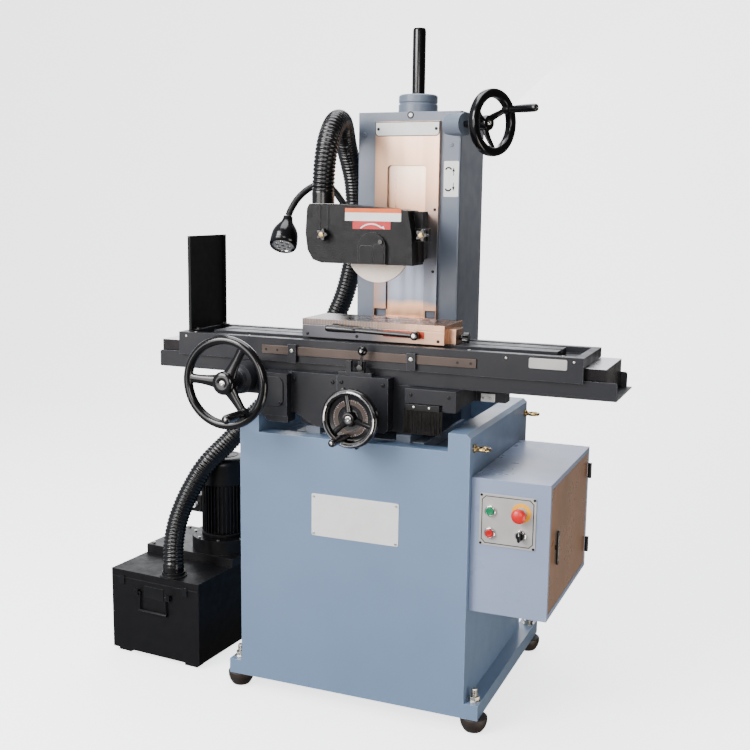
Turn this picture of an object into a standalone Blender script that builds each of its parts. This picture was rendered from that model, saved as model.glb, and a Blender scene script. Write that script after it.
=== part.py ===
"""Manual surface grinder: cabinet, column, wheel head, cross saddle, long table, magnetic chuck,
electrical box and a dust collector that stands on the floor beside it. Metres, +Z up, floor at z = 0.

The numbers are measured from the machine's own datum: x = 0 is the column's centre plane,
y = 0 is the front sheet of the cabinet. The parent empty moves that datum so that the world
origin is the middle of the footprint."""

import math

import bmesh
import bpy
import numpy as np
from mathutils import Matrix, Vector

# Datum shift from machine coordinates to world coordinates.
SHIFT = Vector((0.0725, -0.2216, 0.0))

# Cabinet and base
CABINET_HALF_W = 0.328
CABINET_DEPTH = 0.563
CABINET_TOP = 0.798
CABINET_LIP = 0.750
LEDGE_W = 0.058
WELL_FLOOR = 0.725
EAR_BOTTOM = 0.042
EAR_TOP = 0.083
EAR_HALF_W = 0.367
EAR_LENGTH = 0.640
SHEET = 0.008
FOOT_X = 0.348
FOOT_Y = (0.032, 0.598)
GAP = 0.0003

# Column
COLUMN_HALF_W = 0.156
COLUMN_FRONT = 0.396
COLUMN_BACK = 0.619
COLUMN_BOTTOM = 0.820
COLUMN_TOP = 1.622
COLUMN_WALL = 0.015
SCREW_Y = 0.470
SCREW_TOP = 1.861

# Saddle group: centre of the long slideways in x
SLIDE_X = 0.020
SADDLE_FRONT = 0.060
SADDLE_BACK = 0.300
TRAY_BOTTOM = 0.900
TRAY_X = (-0.620, 0.674)
TRAY_Y = (0.060, 0.290)
TRAY_SHEET = 0.003

# Table
TABLE_X = (-0.549, 0.593)
TABLE_Y = (0.048, 0.277)
TABLE_TOP = 1.003
TABLE_UNDER = 0.978
SKIRT_BOTTOM = 0.940
RIM = 0.022

# Magnetic chuck
CHUCK_X = (-0.181, 0.225)
CHUCK_Y = (0.085, 0.237)
CHUCK_Z = (1.0063, 1.057)
LEVER_PIVOT = (0.149, 0.070, 1.029)

# Wheel head
WHEEL_X = 0.008
WHEEL_Y = 0.160
WHEEL_Z = 1.246
WHEEL_R = 0.090
WHEEL_T = 0.013
GUARD_Y = (0.115, 0.200)
HEAD_X = (-0.080, 0.070)
HEAD_Y = (0.2003, 0.381)
HEAD_Z = (1.209, 1.342)
NECK_HALF_W = 0.046
NECK_Z = (1.209, 1.309)

# Handwheels: axis point and rim radius
TABLE_WHEEL = (-0.314, -0.100, 0.897)
TABLE_WHEEL_R = 0.125
CROSS_WHEEL = (0.033, -0.090, 0.828)
CROSS_WHEEL_R = 0.077
LIFT_WHEEL_START = Vector((0.120, 0.410, 1.585))
LIFT_WHEEL_ANGLE = math.radians(23.4)
LIFT_WHEEL_R = 0.090

# Electrical box on the right side
BOX_X = (CABINET_HALF_W + GAP, 0.533)
BOX_Y = (0.020, 0.495)
BOX_Z = (0.332, 0.686)

# Dust collector, turned a little from the machine
DUST_CORNER = Vector((-0.819, 0.074, 0.0))
DUST_TURN = math.radians(-4.1)
DUST_SIZE = (0.319, 0.400, 0.250)

HOSE_R = 0.031


# ---------------------------------------------------------------- shape helpers


def block(x, y, z):
    """A rectangular block from three (low, high) pairs."""
    made = bmesh.new()
    corners = [made.verts.new((a, b, c)) for a in x for b in y for c in z]
    for ring in ((0, 1, 3, 2), (4, 6, 7, 5), (0, 4, 5, 1), (2, 3, 7, 6), (0, 2, 6, 4), (1, 5, 7, 3)):
        made.faces.new([corners[i] for i in ring])
    bmesh.ops.recalc_face_normals(made, faces=made.faces)
    return made


def prism(outline, axis, low, high):
    """An outline of (u, v) pairs drawn out along an axis: x takes (y, z), y takes (x, z), z takes (x, y)."""
    order = {"x": lambda u, v, t: (t, u, v), "y": lambda u, v, t: (u, t, v), "z": lambda u, v, t: (u, v, t)}
    put = order[axis]
    made = bmesh.new()
    near = [made.verts.new(put(u, v, low)) for u, v in outline]
    far = [made.verts.new(put(u, v, high)) for u, v in outline]
    made.faces.new(near)
    made.faces.new(far[::-1])
    count = len(outline)
    for i in range(count):
        j = (i + 1) % count
        made.faces.new([near[i], far[i], far[j], near[j]])
    bmesh.ops.recalc_face_normals(made, faces=made.faces)
    return made


def turned(profile, centre=(0, 0, 0), axis="z", steps=32):
    """A closed (radius, height) profile turned about an axis; a radius of 0 ends on the axis."""
    made = bmesh.new()
    rings = []
    for radius, height in profile:
        if radius < 1e-7:
            rings.append([made.verts.new((0, 0, height))])
            continue
        angles = [2 * math.pi * k / steps for k in range(steps)]
        rings.append([made.verts.new((radius * math.cos(a), radius * math.sin(a), height)) for a in angles])
    for i, low in enumerate(rings):
        high = rings[(i + 1) % len(rings)]
        if len(low) == 1 and len(high) == 1:
            continue
        for k in range(steps):
            m = (k + 1) % steps
            ring = [low[k % len(low)], low[m % len(low)], high[m % len(high)], high[k % len(high)]]
            corners = list(dict.fromkeys(ring))
            made.faces.new(corners)
    bmesh.ops.recalc_face_normals(made, faces=made.faces)
    turn = {
        "z": Matrix.Identity(4), "x": Matrix.Rotation(math.pi / 2, 4, "Y"),
        "y": Matrix.Rotation(-math.pi / 2, 4, "X")
    }
    bmesh.ops.transform(made, matrix=Matrix.Translation(centre) @ turn[axis], verts=made.verts)
    return made


def rod(start, end, radius, steps=20, end_radius=None):
    """A round bar between two points, tapered when end_radius is given."""
    start = Vector(start)
    run = Vector(end) - start
    far = radius if end_radius is None else end_radius
    made = turned([(0, 0), (radius, 0), (far, run.length), (0, run.length)], steps=steps)
    turn = run.to_track_quat("Z", "Y").to_matrix().to_4x4()
    bmesh.ops.transform(made, matrix=Matrix.Translation(start) @ turn, verts=made.verts)
    return made


def moved(made, matrix):
    bmesh.ops.transform(made, matrix=matrix, verts=made.verts)
    return made


def circle(radius, count, centre=(0, 0), start=0.0):
    angles = [start + 2 * math.pi * k / count for k in range(count)]
    return [(centre[0] + radius * math.cos(a), centre[1] + radius * math.sin(a)) for a in angles]


def arc(centre, radius, first, last, count):
    """Points of an arc, in degrees, both ends included."""
    angles = [math.radians(first + (last - first) * k / (count - 1)) for k in range(count)]
    return [(centre[0] + radius * math.cos(a), centre[1] + radius * math.sin(a)) for a in angles]


def rounded(x, z, radius, corners="1111", count=5):
    """A rectangle outline with chosen corners rounded: low-low, high-low, high-high, low-high."""
    out = []
    spots = ((x[0], z[0], 180), (x[1], z[0], 270), (x[1], z[1], 0), (x[0], z[1], 90))
    for keep, (cx, cz, first) in zip(corners, spots):
        if keep == "0":
            out.append((cx, cz))
            continue
        sx = 1 if cx == x[0] else -1
        sz = 1 if cz == z[0] else -1
        out += arc((cx + sx * radius, cz + sz * radius), radius, first, first + 90, count)
    return out


def helper_object(made):
    mesh = bpy.data.meshes.new("helper")
    made.to_mesh(mesh)
    made.free()
    obj = bpy.data.objects.new("helper", mesh)
    bpy.context.scene.collection.objects.link(obj)
    return obj


def node(
    name, pieces, cuts=(), origin=(0, 0, 0), colour=(0.5, 0.5, 0.5), roughness=0.5, metallic=0.0,
    smooth=35
):
    """One named object: the pieces joined, the cuts taken away, its origin moved to a point in machine space."""
    base = helper_object(pieces[0])
    others = [
        (helper_object(p), "UNION")
        for p in pieces[1:]
    ] + [(helper_object(c), "DIFFERENCE") for c in cuts]
    for other, operation in others:
        modifier = base.modifiers.new("shape", "BOOLEAN")
        modifier.operation = operation
        modifier.solver = "EXACT"
        modifier.object = other
    bpy.context.view_layer.update()
    graph = bpy.context.evaluated_depsgraph_get()
    mesh = bpy.data.meshes.new_from_object(base.evaluated_get(graph))
    for other, _ in others:
        bpy.data.objects.remove(other)
    bpy.data.objects.remove(base)
    mesh.name = name
    mesh.transform(Matrix.Translation(-Vector(origin)))
    for polygon in mesh.polygons:
        polygon.use_smooth = True
    mesh.set_sharp_from_angle(angle=math.radians(smooth))
    mesh.materials.clear()
    mesh.materials.append(paint(name, colour, roughness, metallic))
    obj = bpy.data.objects.new(name, mesh)
    bpy.context.scene.collection.objects.link(obj)
    obj.parent = DATUM
    obj.location = origin
    return obj


def paint(name, colour, roughness, metallic):
    material = bpy.data.materials.new(name)
    material.use_nodes = True
    shader = material.node_tree.nodes["Principled BSDF"]
    shader.inputs["Base Color"].default_value = (*colour, 1)
    shader.inputs["Roughness"].default_value = roughness
    shader.inputs["Metallic"].default_value = metallic
    material.diffuse_color = (*colour, 1)
    return material


GREY_BLUE = dict(colour=(0.33, 0.40, 0.48), roughness=0.45)
MID_BLUE = dict(colour=(0.20, 0.24, 0.30), roughness=0.42)
CHARCOAL = dict(colour=(0.055, 0.062, 0.078), roughness=0.42)
BLACK = dict(colour=(0.015, 0.015, 0.017), roughness=0.4)
STEEL = dict(colour=(0.62, 0.61, 0.60), roughness=0.28, metallic=1.0)
DARK_STEEL = dict(colour=(0.20, 0.17, 0.15), roughness=0.4, metallic=0.9)
BRASS = dict(colour=(0.62, 0.46, 0.16), roughness=0.3, metallic=1.0)


# ---------------------------------------------------------------- base


def cabinet():
    w = CABINET_HALF_W
    ledge = w - LEDGE_W
    front = [(-EAR_HALF_W, EAR_BOTTOM), (EAR_HALF_W, EAR_BOTTOM)]
    front += arc((EAR_HALF_W - 0.014, EAR_TOP - 0.014), 0.014, 0, 90, 5)
    front += [(w, EAR_TOP), (w, CABINET_TOP - 0.010), (w - 0.010, CABINET_TOP), (ledge, CABINET_TOP)]
    front += [(ledge, CABINET_LIP), (-ledge, CABINET_LIP), (-ledge, CABINET_TOP), (-w + 0.010, CABINET_TOP)]
    front += [(-w, CABINET_TOP - 0.010), (-w, EAR_TOP)]
    front += arc((-EAR_HALF_W + 0.014, EAR_TOP - 0.014), 0.014, 90, 180, 5)
    shell = prism(front, "y", 0.0, CABINET_DEPTH)
    back_wall = block(
        (-ledge - 0.01, ledge + 0.01), (CABINET_DEPTH - 0.015, CABINET_DEPTH), (0.5, CABINET_TOP)
    )
    ears = []
    for side in (-1, 1):
        x = sorted((side * (w - 0.008), side * EAR_HALF_W))
        ears.append(block(x, (0.0, EAR_LENGTH), (EAR_BOTTOM, EAR_TOP)))
    well = block((-ledge, ledge), (0.0490, CABINET_DEPTH - 0.015), (WELL_FLOOR, CABINET_TOP + 0.02))
    inside = block((-w + SHEET, w - SHEET), (SHEET, CABINET_DEPTH - SHEET), (0.0, WELL_FLOOR - 0.012))
    holes = []
    for sx in (-1, 1):
        for y in FOOT_Y:
            holes.append(rod((sx * FOOT_X, y, 0.02), (sx * FOOT_X, y, 0.11), 0.0095, 16))
    return node("cabinet", [shell, back_wall, *ears], [well, inside, *holes], **GREY_BLUE)


def levelling_feet():
    for name, x, y in (
        ("levelling_foot_fl", -FOOT_X, FOOT_Y[0]),
        ("levelling_foot_fr", FOOT_X, FOOT_Y[0]),
        ("levelling_foot_bl", -FOOT_X, FOOT_Y[1]),
        ("levelling_foot_br", FOOT_X, FOOT_Y[1]),
    ):
        top = EAR_BOTTOM - GAP
        pad = [(0, 0), (0.018, 0), (0.026, 0.005), (0.033, 0.016), (0.0365, 0.030), (0.0365, top)]
        stud = [(0.0088, top), (0.0088, 0.114), (0.0070, 0.117), (0, 0.117)]
        nut = prism(circle(0.0135, 6, (x, y)), "z", EAR_TOP + GAP, EAR_TOP + 0.013)
        body = turned(pad + stud, (x, y, 0), steps=20)
        node(name, [body, nut], colour=(0.09, 0.06, 0.05), roughness=0.6)


def lifting_eyes():
    for name, side, y in (
        ("lifting_eye_fl", -1, 0.034),
        ("lifting_eye_fr", 1, 0.034),
        ("lifting_eye_bl", -1, 0.540),
        ("lifting_eye_br", 1, 0.540),
    ):
        section = [(0.0150 + 0.0042 * u, 0.0042 * v) for u, v in circle(1.0, 8)]
        ring = turned(section, steps=16)
        moved(ring, Matrix.Translation((side * 0.354, y, 0.757)))
        shank = rod((side * (CABINET_HALF_W + GAP), y, 0.757), (side * 0.3435, y, 0.757), 0.0055, 10)
        collar = rod((side * (CABINET_HALF_W + GAP), y, 0.757), (side * 0.3335, y, 0.757), 0.0110, 12)
        node(name, [ring, shank, collar], **BRASS)


def bed():
    """Casting in the cabinet's well: two ways for the saddle, and the seat the column stands on."""
    plate = block((-0.185, 0.185), (0.060, 0.400), (WELL_FLOOR + GAP, 0.752))
    ways = [block(x, (0.050, 0.390), (0.745, 0.770)) for x in ((-0.150, -0.110), (0.110, 0.150))]
    seat = block((-0.160, 0.160), (0.398, 0.545), (WELL_FLOOR + GAP, 0.8197))
    shelf = block((-0.160, 0.160), (0.500, 0.622), (CABINET_TOP + 0.001, 0.8197))
    return node("bed", [plate, *ways, seat, shelf], **MID_BLUE)


def column():
    w = COLUMN_HALF_W
    outline = rounded((-w, w), (COLUMN_FRONT, COLUMN_BACK), 0.006, "1111", 3)
    casting = prism(outline, "z", COLUMN_BOTTOM, COLUMN_TOP)
    boss = rod(lift_point(-0.004), lift_point(0.055), 0.0315, 28)
    inner_x = (-w + COLUMN_WALL, w - COLUMN_WALL)
    inner_z = (COLUMN_BOTTOM + 0.016, COLUMN_TOP - 0.016)
    cavity = block(inner_x, (COLUMN_FRONT + COLUMN_WALL, COLUMN_BACK - COLUMN_WALL), inner_z)
    window = block((-0.050, 0.050), (COLUMN_FRONT - 0.01, COLUMN_FRONT + 0.03), (1.107, 1.463))
    screw_hole = rod((0, SCREW_Y, COLUMN_TOP - 0.03), (0, SCREW_Y, COLUMN_TOP + 0.01), 0.021, 24)
    shaft_hole = rod(lift_point(0.005), lift_point(0.06), 0.0100, 20)
    return node("column", [casting, boss], [cavity, window, screw_hole, shaft_hole], **MID_BLUE)


def column_cap():
    low, high = COLUMN_TOP + GAP, 1.674
    profile = [(0.021, low), (0.057, low), (0.057, 1.646), (0.054, 1.648), (0.054, 1.651)]
    profile += [(0.056, 1.653), (0.056, high - 0.003), (0.053, high), (0.021, high)]
    return node("column_cap", [turned(profile, (0, SCREW_Y, 0), steps=30)], **MID_BLUE)


def slide_cover():
    """Fixed bright cover on the column's front: a frame round the window that the sliding panel shows through."""
    w, front, t = 0.097, 0.384, 0.0025
    sheet = block((-w, w), (front, front + t), (1.062, 1.595))
    sides = [block(x, (front, COLUMN_FRONT - GAP), (1.019, 1.595)) for x in ((-w, -w + t), (w - t, w))]
    lip = block((-w, w), (front - 0.008, front + t), (1.019, 1.041))
    window = prism(rounded((-0.058, 0.058), (1.050, 1.473), 0.010, "0011"), "y", front - 0.01, front + 0.01)
    return node("slide_cover", [sheet, *sides, lip], [window], **STEEL)


# ---------------------------------------------------------------- saddle


def saddle():
    """Cross slide casting: block on the bed ways, wing to the right, and the long ways that carry the table."""
    lower = block((-0.172, 0.208), (SADDLE_FRONT, SADDLE_BACK), (0.773, TRAY_BOTTOM - GAP))
    pads = [
        block(x, (SADDLE_FRONT, SADDLE_BACK), (0.7703, 0.776))
        for x in ((-0.152, -0.108), (0.108, 0.152))
    ]
    upper = block((SLIDE_X - 0.425, SLIDE_X + 0.425), (0.080, 0.268), (0.9035, 0.960))
    riser = block((SLIDE_X - 0.185, SLIDE_X + 0.185), (0.080, 0.268), (0.890, 0.910))
    vee = prism(
        [(0.090, 0.955), (0.150, 0.955), (0.150, 0.958), (0.128, 0.9735), (0.112, 0.9735), (0.090, 0.958)],
        "x", SLIDE_X - 0.425, SLIDE_X + 0.425
    )
    flat = block((SLIDE_X - 0.425, SLIDE_X + 0.425), (0.205, 0.255), (0.955, 0.968))
    wing = prism(
        [
            (0.020, 0.862), (0.040, 0.862), (0.060, 0.850), (0.300, 0.850),
            (0.300, TRAY_BOTTOM - GAP), (0.020, TRAY_BOTTOM - GAP)
        ],
        "x", 0.144, 0.281
    )
    web = block((0.200, 0.150), (0.170, 0.300), (0.850, TRAY_BOTTOM - GAP))
    lug = block((0.246, 0.281), (0.020, 0.060), (0.845, 0.870))
    arm = block((0.275, 0.363), (0.195, 0.235), (0.848, TRAY_BOTTOM - GAP))
    tunnel = rod((CROSS_WHEEL[0], 0.04, CROSS_WHEEL[2]), (CROSS_WHEEL[0], 0.20, CROSS_WHEEL[2]), 0.0105, 20)
    return node(
        "saddle", [lower, *pads, upper, riser, vee, flat, wing, web, lug, arm], [tunnel], **CHARCOAL
    )


def tray():
    """Folded trough under the table, open at both ends, with a cut-out for the saddle's upper part."""
    t = TRAY_SHEET
    low, high = TRAY_BOTTOM, 0.946
    floor = block(TRAY_X, TRAY_Y, (low, low + t))
    front = prism(rounded(TRAY_X, (low, high), 0.006, "0011"), "y", TRAY_Y[0], TRAY_Y[0] + t)
    back = prism(
        rounded((TRAY_X[0] + 0.013, TRAY_X[1] - 0.013), (low, high - 0.005), 0.006, "0011"), "y",
        TRAY_Y[1] - t, TRAY_Y[1]
    )
    opening = block((SLIDE_X - 0.1855, SLIDE_X + 0.1855), (0.0795, 0.2685), (low - 0.01, low + 0.01))
    return node("tray", [floor, front, back], [opening], **CHARCOAL)


def way_covers():
    """Folded bright covers over the ends of the slideway, one each side."""
    top, low, t = 0.976, TRAY_BOTTOM + TRAY_SHEET + GAP, 0.0025
    y = (0.070, 0.283)
    for name, inner, outer in (("way_cover_left", -0.409, -0.617), ("way_cover_right", 0.449, 0.645)):
        x = sorted((inner, outer))
        reach = 0.02 if outer > inner else -0.02
        hollow_x = sorted((inner - reach, outer - math.copysign(t, reach)))
        shell = block(x, y, (low, top))
        hollow = block(hollow_x, (y[0] + t, y[1] - t), (low - 0.01, top - t))
        node(name, [shell], [hollow], **STEEL)


def apron():
    """Front housing of the cross feed; the screw's journal runs through it."""
    side = [(-0.0473, 0.7755), (0.088, 0.7755), (0.097, 0.784), (0.097, 0.920), (-0.0473, 0.920)]
    body = prism(side, "y", 0.020, 0.0597)
    collar = turned(
        [(0.012, -0.048), (0.024, -0.048), (0.027, -0.040), (0.027, 0.025), (0.012, 0.025)],
        (CROSS_WHEEL[0], 0, CROSS_WHEEL[2]), "y", 28
    )
    hole = rod((CROSS_WHEEL[0], -0.06, CROSS_WHEEL[2]), (CROSS_WHEEL[0], 0.07, CROSS_WHEEL[2]), 0.0105, 20)
    return node("apron", [body, collar], [hole], **CHARCOAL)


def gear_housing():
    """Left half of the apron with the bearing that carries the table handwheel."""
    plate = [
        (-0.108, 0.7755), (-0.0476, 0.7755), (-0.0476, 0.920), (-0.190, 0.920), (-0.190, 0.880),
        (-0.190, 0.810), (-0.1705, 0.810)
    ]
    body = prism(plate, "y", 0.020, 0.0597)
    side = block((-0.262, -0.180), (-0.010, 0.045), (0.802, 0.917))
    foot = prism(
        [(-0.262, 0.810), (-0.240, 0.785), (-0.180, 0.785), (-0.180, 0.815), (-0.262, 0.815)], "y",
        -0.005, 0.040
    )
    x, _, z = TABLE_WHEEL
    web = block((x, -0.255), (0.000, 0.040), (0.856, 0.915))
    bearing = turned(
        [
            (0.0105, -0.050), (0.028, -0.050), (0.032, -0.040), (0.040, -0.034), (0.042, -0.010),
            (0.042, 0.040), (0.0105, 0.040)
        ],
        (x, 0, z), "y", 32
    )
    hole = rod((x, -0.06, z), (x, 0.05, z), 0.0105, 20)
    return node("gear_housing", [body, side, foot, web, bearing], [hole], **CHARCOAL)


def way_brush():
    bristles = block((0.143, 0.247), (0.0115, 0.0197), (0.782, 0.848))
    clamp = block((0.150, 0.240), (0.0095, 0.0197), (0.846, 0.8615))
    return node("way_brush", [bristles, clamp], **BLACK)


def lever_block():
    base = block((-0.044, 0.050), (0.0205, 0.033), (0.9203, 0.931))
    prongs = [block(x, (0.0205, 0.033), (0.929, 0.960)) for x in ((-0.023, -0.008), (0.012, 0.029))]
    return node("lever_block", [base, *prongs], **CHARCOAL)


def reverse_lever():
    x, z = 0.0205, 0.944
    disc = turned([(0, 0.008), (0.0085, 0.008), (0.0085, 0.0202), (0, 0.0202)], (x, 0, z), "y", 20)
    stem = rod((x, 0.014, z), (0.027, 0.014, 0.982), 0.0035, 12)
    ball = turned(
        [(0.0125 * math.sin(a), -0.0125 * math.cos(a)) for a in np.linspace(0, math.pi, 11)],
        (0.027, 0.014, 0.989), "z", 20
    )
    return node("reverse_lever", [disc, stem, ball], origin=(x, 0.014, z), **BLACK)


# ---------------------------------------------------------------- table group


def table():
    """Long table: rim round a coolant channel, raised centre land with a tee slot, guide ribs and front skirt."""
    x, y = TABLE_X, TABLE_Y
    section = [(y[0], SKIRT_BOTTOM), (y[0] + 0.0095, SKIRT_BOTTOM), (y[0] + 0.0095, TABLE_UNDER - 0.001)]
    section += [
        (0.084, TABLE_UNDER - 0.001), (0.084, 0.962), (0.0925, 0.962), (0.1116, 0.9755),
        (0.1284, 0.9755)
    ]
    section += [
        (0.1475, 0.962), (0.156, 0.962), (0.156, TABLE_UNDER), (0.200, TABLE_UNDER), (0.200, 0.9683)
    ]
    section += [
        (0.258, 0.9683), (0.258, TABLE_UNDER), (y[1], TABLE_UNDER), (y[1], TABLE_TOP),
        (y[0], TABLE_TOP)
    ]
    body = prism(section, "x", *x)
    land = block((-0.470, 0.514), (0.110, 0.212), (0.985, 1.006))
    channel = block((x[0] + RIM, x[1] - RIM), (y[0] + RIM, y[1] - RIM), (0.9865, 1.02))
    slot = block((-0.48, 0.53), (0.155, 0.167), (0.9975, 1.02))
    # The guide ribs are short, so that they never reach the bright covers at the ends of the travel.
    ends = [block(e, (0.06, 0.30), (0.94, TABLE_UNDER)) for e in ((-0.60, -0.150), (0.240, 0.65))]
    cut = node("table_body", [body], [channel, *ends], **CHARCOAL)
    made = bmesh.new()
    made.from_mesh(cut.data)
    bpy.data.objects.remove(cut)
    return node("table", [made, land], [slot], origin=(SLIDE_X, 0.16, TABLE_TOP), **CHARCOAL)


def splash_guard():
    """Folded sheet standing on the table's left end."""
    low, high = TABLE_TOP + GAP, 1.269
    plate = block((-0.5375, -0.5350), (0.081, 0.279), (low, high))
    folds = [block((-0.5375, -0.5285), y, (low, high)) for y in ((0.081, 0.0835), (0.2765, 0.279))]
    return node("splash_guard", [plate, *folds], **BLACK)


def dog_rail():
    bar = prism([(0.0437, 0.960), (0.0477, 0.959), (0.0477, 0.984), (0.0437, 0.983)], "x", -0.283, 0.324)
    return node("dog_rail", [bar], **DARK_STEEL)


def dogs():
    """Stop dogs that hook over the rail's top edge and clamp on it."""
    for name, x, z in (
        ("dog_left", (-0.201, -0.177), (0.940, 0.990)),
        ("dog_right", (0.140, 0.164), (0.944, 0.988))
    ):
        face = block(x, (0.0365, 0.0434), z)
        screw = turned(
            [(0, 0.0338), (0.0055, 0.0338), (0.0055, 0.037), (0, 0.037)],
            ((x[0] + x[1]) / 2, 0, 0.972), "y", 12
        )
        node(name, [face, screw], origin=((x[0] + x[1]) / 2, 0.040, 0.971), **CHARCOAL)


def magnetic_chuck():
    x, y, z = CHUCK_X, CHUCK_Y, CHUCK_Z
    body = block(x, y, z)
    groove = [
        block((x[0] - 0.01, x[1] + 0.01), e, (1.0402, 1.0414))
        for e in ((y[0] - 0.01, y[0] + 0.0006), (y[1] - 0.0006, y[1] + 0.01))
    ]
    stop = block((x[1] - 0.001, 0.246), (0.118, 0.176), (z[0], 1.046))
    return node("magnetic_chuck", [body, stop], groove, **STEEL)


def chuck_lever():
    """Switching lever on the chuck's front: round boss, tapered arm, thicker grip."""
    px, py, pz = LEVER_PIVOT
    boss = turned(
        [(0, 0.0610), (0.0095, 0.0610), (0.0115, 0.0640), (0.0115, 0.0847), (0, 0.0847)],
        (px, 0, pz), "y", 24
    )
    run = Vector((-0.245, -0.006, 0.0076))
    start = Vector((px, 0.070, pz))
    arm = rod(start, start + run * 0.72, 0.0070, 14, 0.0055)
    grip = rod(start + run * 0.69, start + run, 0.0072, 16, 0.0095)
    cap = turned(
        [
            (0.0095 * math.cos(a), 0.006 * math.sin(a))
            for a in np.linspace(0, math.pi / 2, 4)
        ] + [(0, -0.001), (0.0095, -0.001)],
        steps=16
    )
    moved(cap, Matrix.Translation(start + run) @ run.to_track_quat("Z", "Y").to_matrix().to_4x4())
    return node("chuck_lever", [boss, arm, grip, cap], origin=(px, py, pz), **BLACK)


def star_outline(radius, lobes, depth, count):
    """Outline of a lobed hand knob."""
    angles = [2 * math.pi * k / count for k in range(count)]
    return [
        (
            (radius + depth * math.cos(lobes * a)) * math.cos(a),
            (radius + depth * math.cos(lobes * a)) * math.sin(a)
        )
        for a in angles
    ]


def end_stop_knob():
    x, y, z = 0.2463, 0.147, 1.0230
    star = moved(
        prism(star_outline(0.0120, 5, 0.0025, 30), "x", 0.256, 0.272), Matrix.Translation((0, y, z))
    )
    neck = rod((x, y, z), (0.258, y, z), 0.0065, 16)
    return node("end_stop_knob", [star, neck], origin=(x, y, z), **BLACK)


# ---------------------------------------------------------------- handwheels


def wheel_rim(radius, inner, half_depth):
    """Rim with an oval section, turned about z."""
    middle = (radius + inner) / 2
    half = (radius - inner) / 2
    return [(middle + half * u, half_depth * v) for u, v in circle(1.0, 8)]


def spoke(angle, inner, outer, width, end_width, low, high, rim_low, rim_high):
    """A tapered spoke in the plane across z, from hub height to rim height."""
    made = bmesh.new()
    rows = []
    for r, half, z0, z1 in ((inner, width / 2, low, high), (outer, end_width / 2, rim_low, rim_high)):
        rows.append([made.verts.new((r, s * half, z)) for s, z in ((-1, z0), (1, z0), (1, z1), (-1, z1))])
    made.faces.new(rows[0])
    made.faces.new(rows[1][::-1])
    for i in range(4):
        j = (i + 1) % 4
        made.faces.new([rows[0][i], rows[1][i], rows[1][j], rows[0][j]])
    bmesh.ops.recalc_face_normals(made, faces=made.faces)
    return moved(made, Matrix.Rotation(angle, 4, "Z"))


def facing_front(point):
    """Local +Z becomes machine -Y, local +X stays +X, at a machine point."""
    return Matrix.Translation(point) @ Matrix.Rotation(math.pi / 2, 4, "X")


def table_handwheel():
    rim = turned(wheel_rim(TABLE_WHEEL_R, 0.1005, 0.0120), steps=40)
    hub = turned(
        [
            (0, -0.0485), (0.019, -0.0485), (0.024, -0.020), (0.0270, -0.012), (0.0270, 0.014),
            (0.022, 0.020), (0.010, 0.021), (0, 0.021)
        ],
        steps=28
    )
    journal = turned([(0, -0.135), (0.0100, -0.135), (0.0100, -0.045), (0, -0.045)], steps=20)
    angles = [math.radians(a) for a in (177, 61, -55)]
    spokes = [spoke(a, 0.018, 0.108, 0.026, 0.017, -0.011, 0.008, -0.006, 0.006) for a in angles]
    spot = 0.094
    pad = moved(
        turned([(0, -0.008), (0.0145, -0.008), (0.0145, 0.0105), (0, 0.0105)], steps=20),
        Matrix.Rotation(angles[2], 4, "Z") @ Matrix.Translation((spot, 0, 0))
    )
    pieces = [moved(p, facing_front(TABLE_WHEEL)) for p in (rim, hub, journal, *spokes, pad)]
    return node("table_handwheel", pieces, origin=TABLE_WHEEL, **BLACK)


def grip_profile(length, radius):
    """A plain revolving grip, thin at the foot and fuller towards its round end."""
    shape = [
        (0, 0), (0.75, 0), (0.78, 0.06), (0.88, 0.25), (1.0, 0.60), (1.0, 0.88), (0.86, 0.96),
        (0.45, 1.0), (0, 1.0)
    ]
    return [(r * radius, h * length) for r, h in shape]


def table_grip():
    angle = math.radians(-55)
    x = TABLE_WHEEL[0] + 0.094 * math.cos(angle)
    z = TABLE_WHEEL[2] + 0.094 * math.sin(angle)
    y = TABLE_WHEEL[1] - 0.0105 - GAP
    body = moved(turned(grip_profile(0.086, 0.0125), steps=20), facing_front((x, y, z)))
    return node("table_grip", [body], origin=(x, y, z), **BLACK)


def cross_handwheel():
    """Dished handwheel with a broad rim; the screw's journal is part of it."""
    profile = [
        (0, -0.038), (0.0165, -0.038), (0.0165, -0.026), (0.060, -0.026), (0.0770, -0.022),
        (0.0770, -0.008)
    ]
    profile += [
        (0.0740, -0.0035), (0.0600, -0.0035), (0.0600, -0.0160), (0.0200, -0.0180),
        (0.0180, -0.004), (0.0130, 0.0), (0, 0.0)
    ]
    body = turned(profile, steps=36)
    lobes = [
        moved(
            turned([(0, -0.020), (0.006, -0.020), (0.006, -0.009), (0, -0.009)], steps=10),
            Matrix.Rotation(math.radians(a), 4, "Z") @ Matrix.Translation((0.0745, 0, 0))
        )
        for a in (15, 105, 195, 285)
    ]
    journal = turned([(0, -0.240), (0.0100, -0.240), (0.0100, -0.030), (0, -0.030)], steps=20)
    pieces = [moved(p, facing_front(CROSS_WHEEL)) for p in (body, *lobes, journal)]
    return node("cross_handwheel", pieces, origin=CROSS_WHEEL, **BLACK)


def cross_dial():
    ring = turned(
        [(0.0655, -0.0032), (0.0705, -0.0032), (0.0710, 0.0), (0.0695, 0.0022), (0.0665, 0.0022)],
        steps=36
    )
    return node(
        "cross_dial", [moved(ring, facing_front(CROSS_WHEEL))], origin=CROSS_WHEEL,
        colour=(0.75, 0.75, 0.76), roughness=0.15, metallic=1.0
    )


CROSS_GRIP = (CROSS_WHEEL[0] - 0.010, CROSS_WHEEL[1] + 0.0160, CROSS_WHEEL[2] - 0.047)


def cross_grip():
    body = moved(
        turned(grip_profile(0.095, 0.0105), steps=18),
        facing_front((CROSS_GRIP[0], CROSS_GRIP[1] - GAP, CROSS_GRIP[2]))
    )
    return node("cross_grip", [body], origin=CROSS_GRIP, **BLACK)


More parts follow.
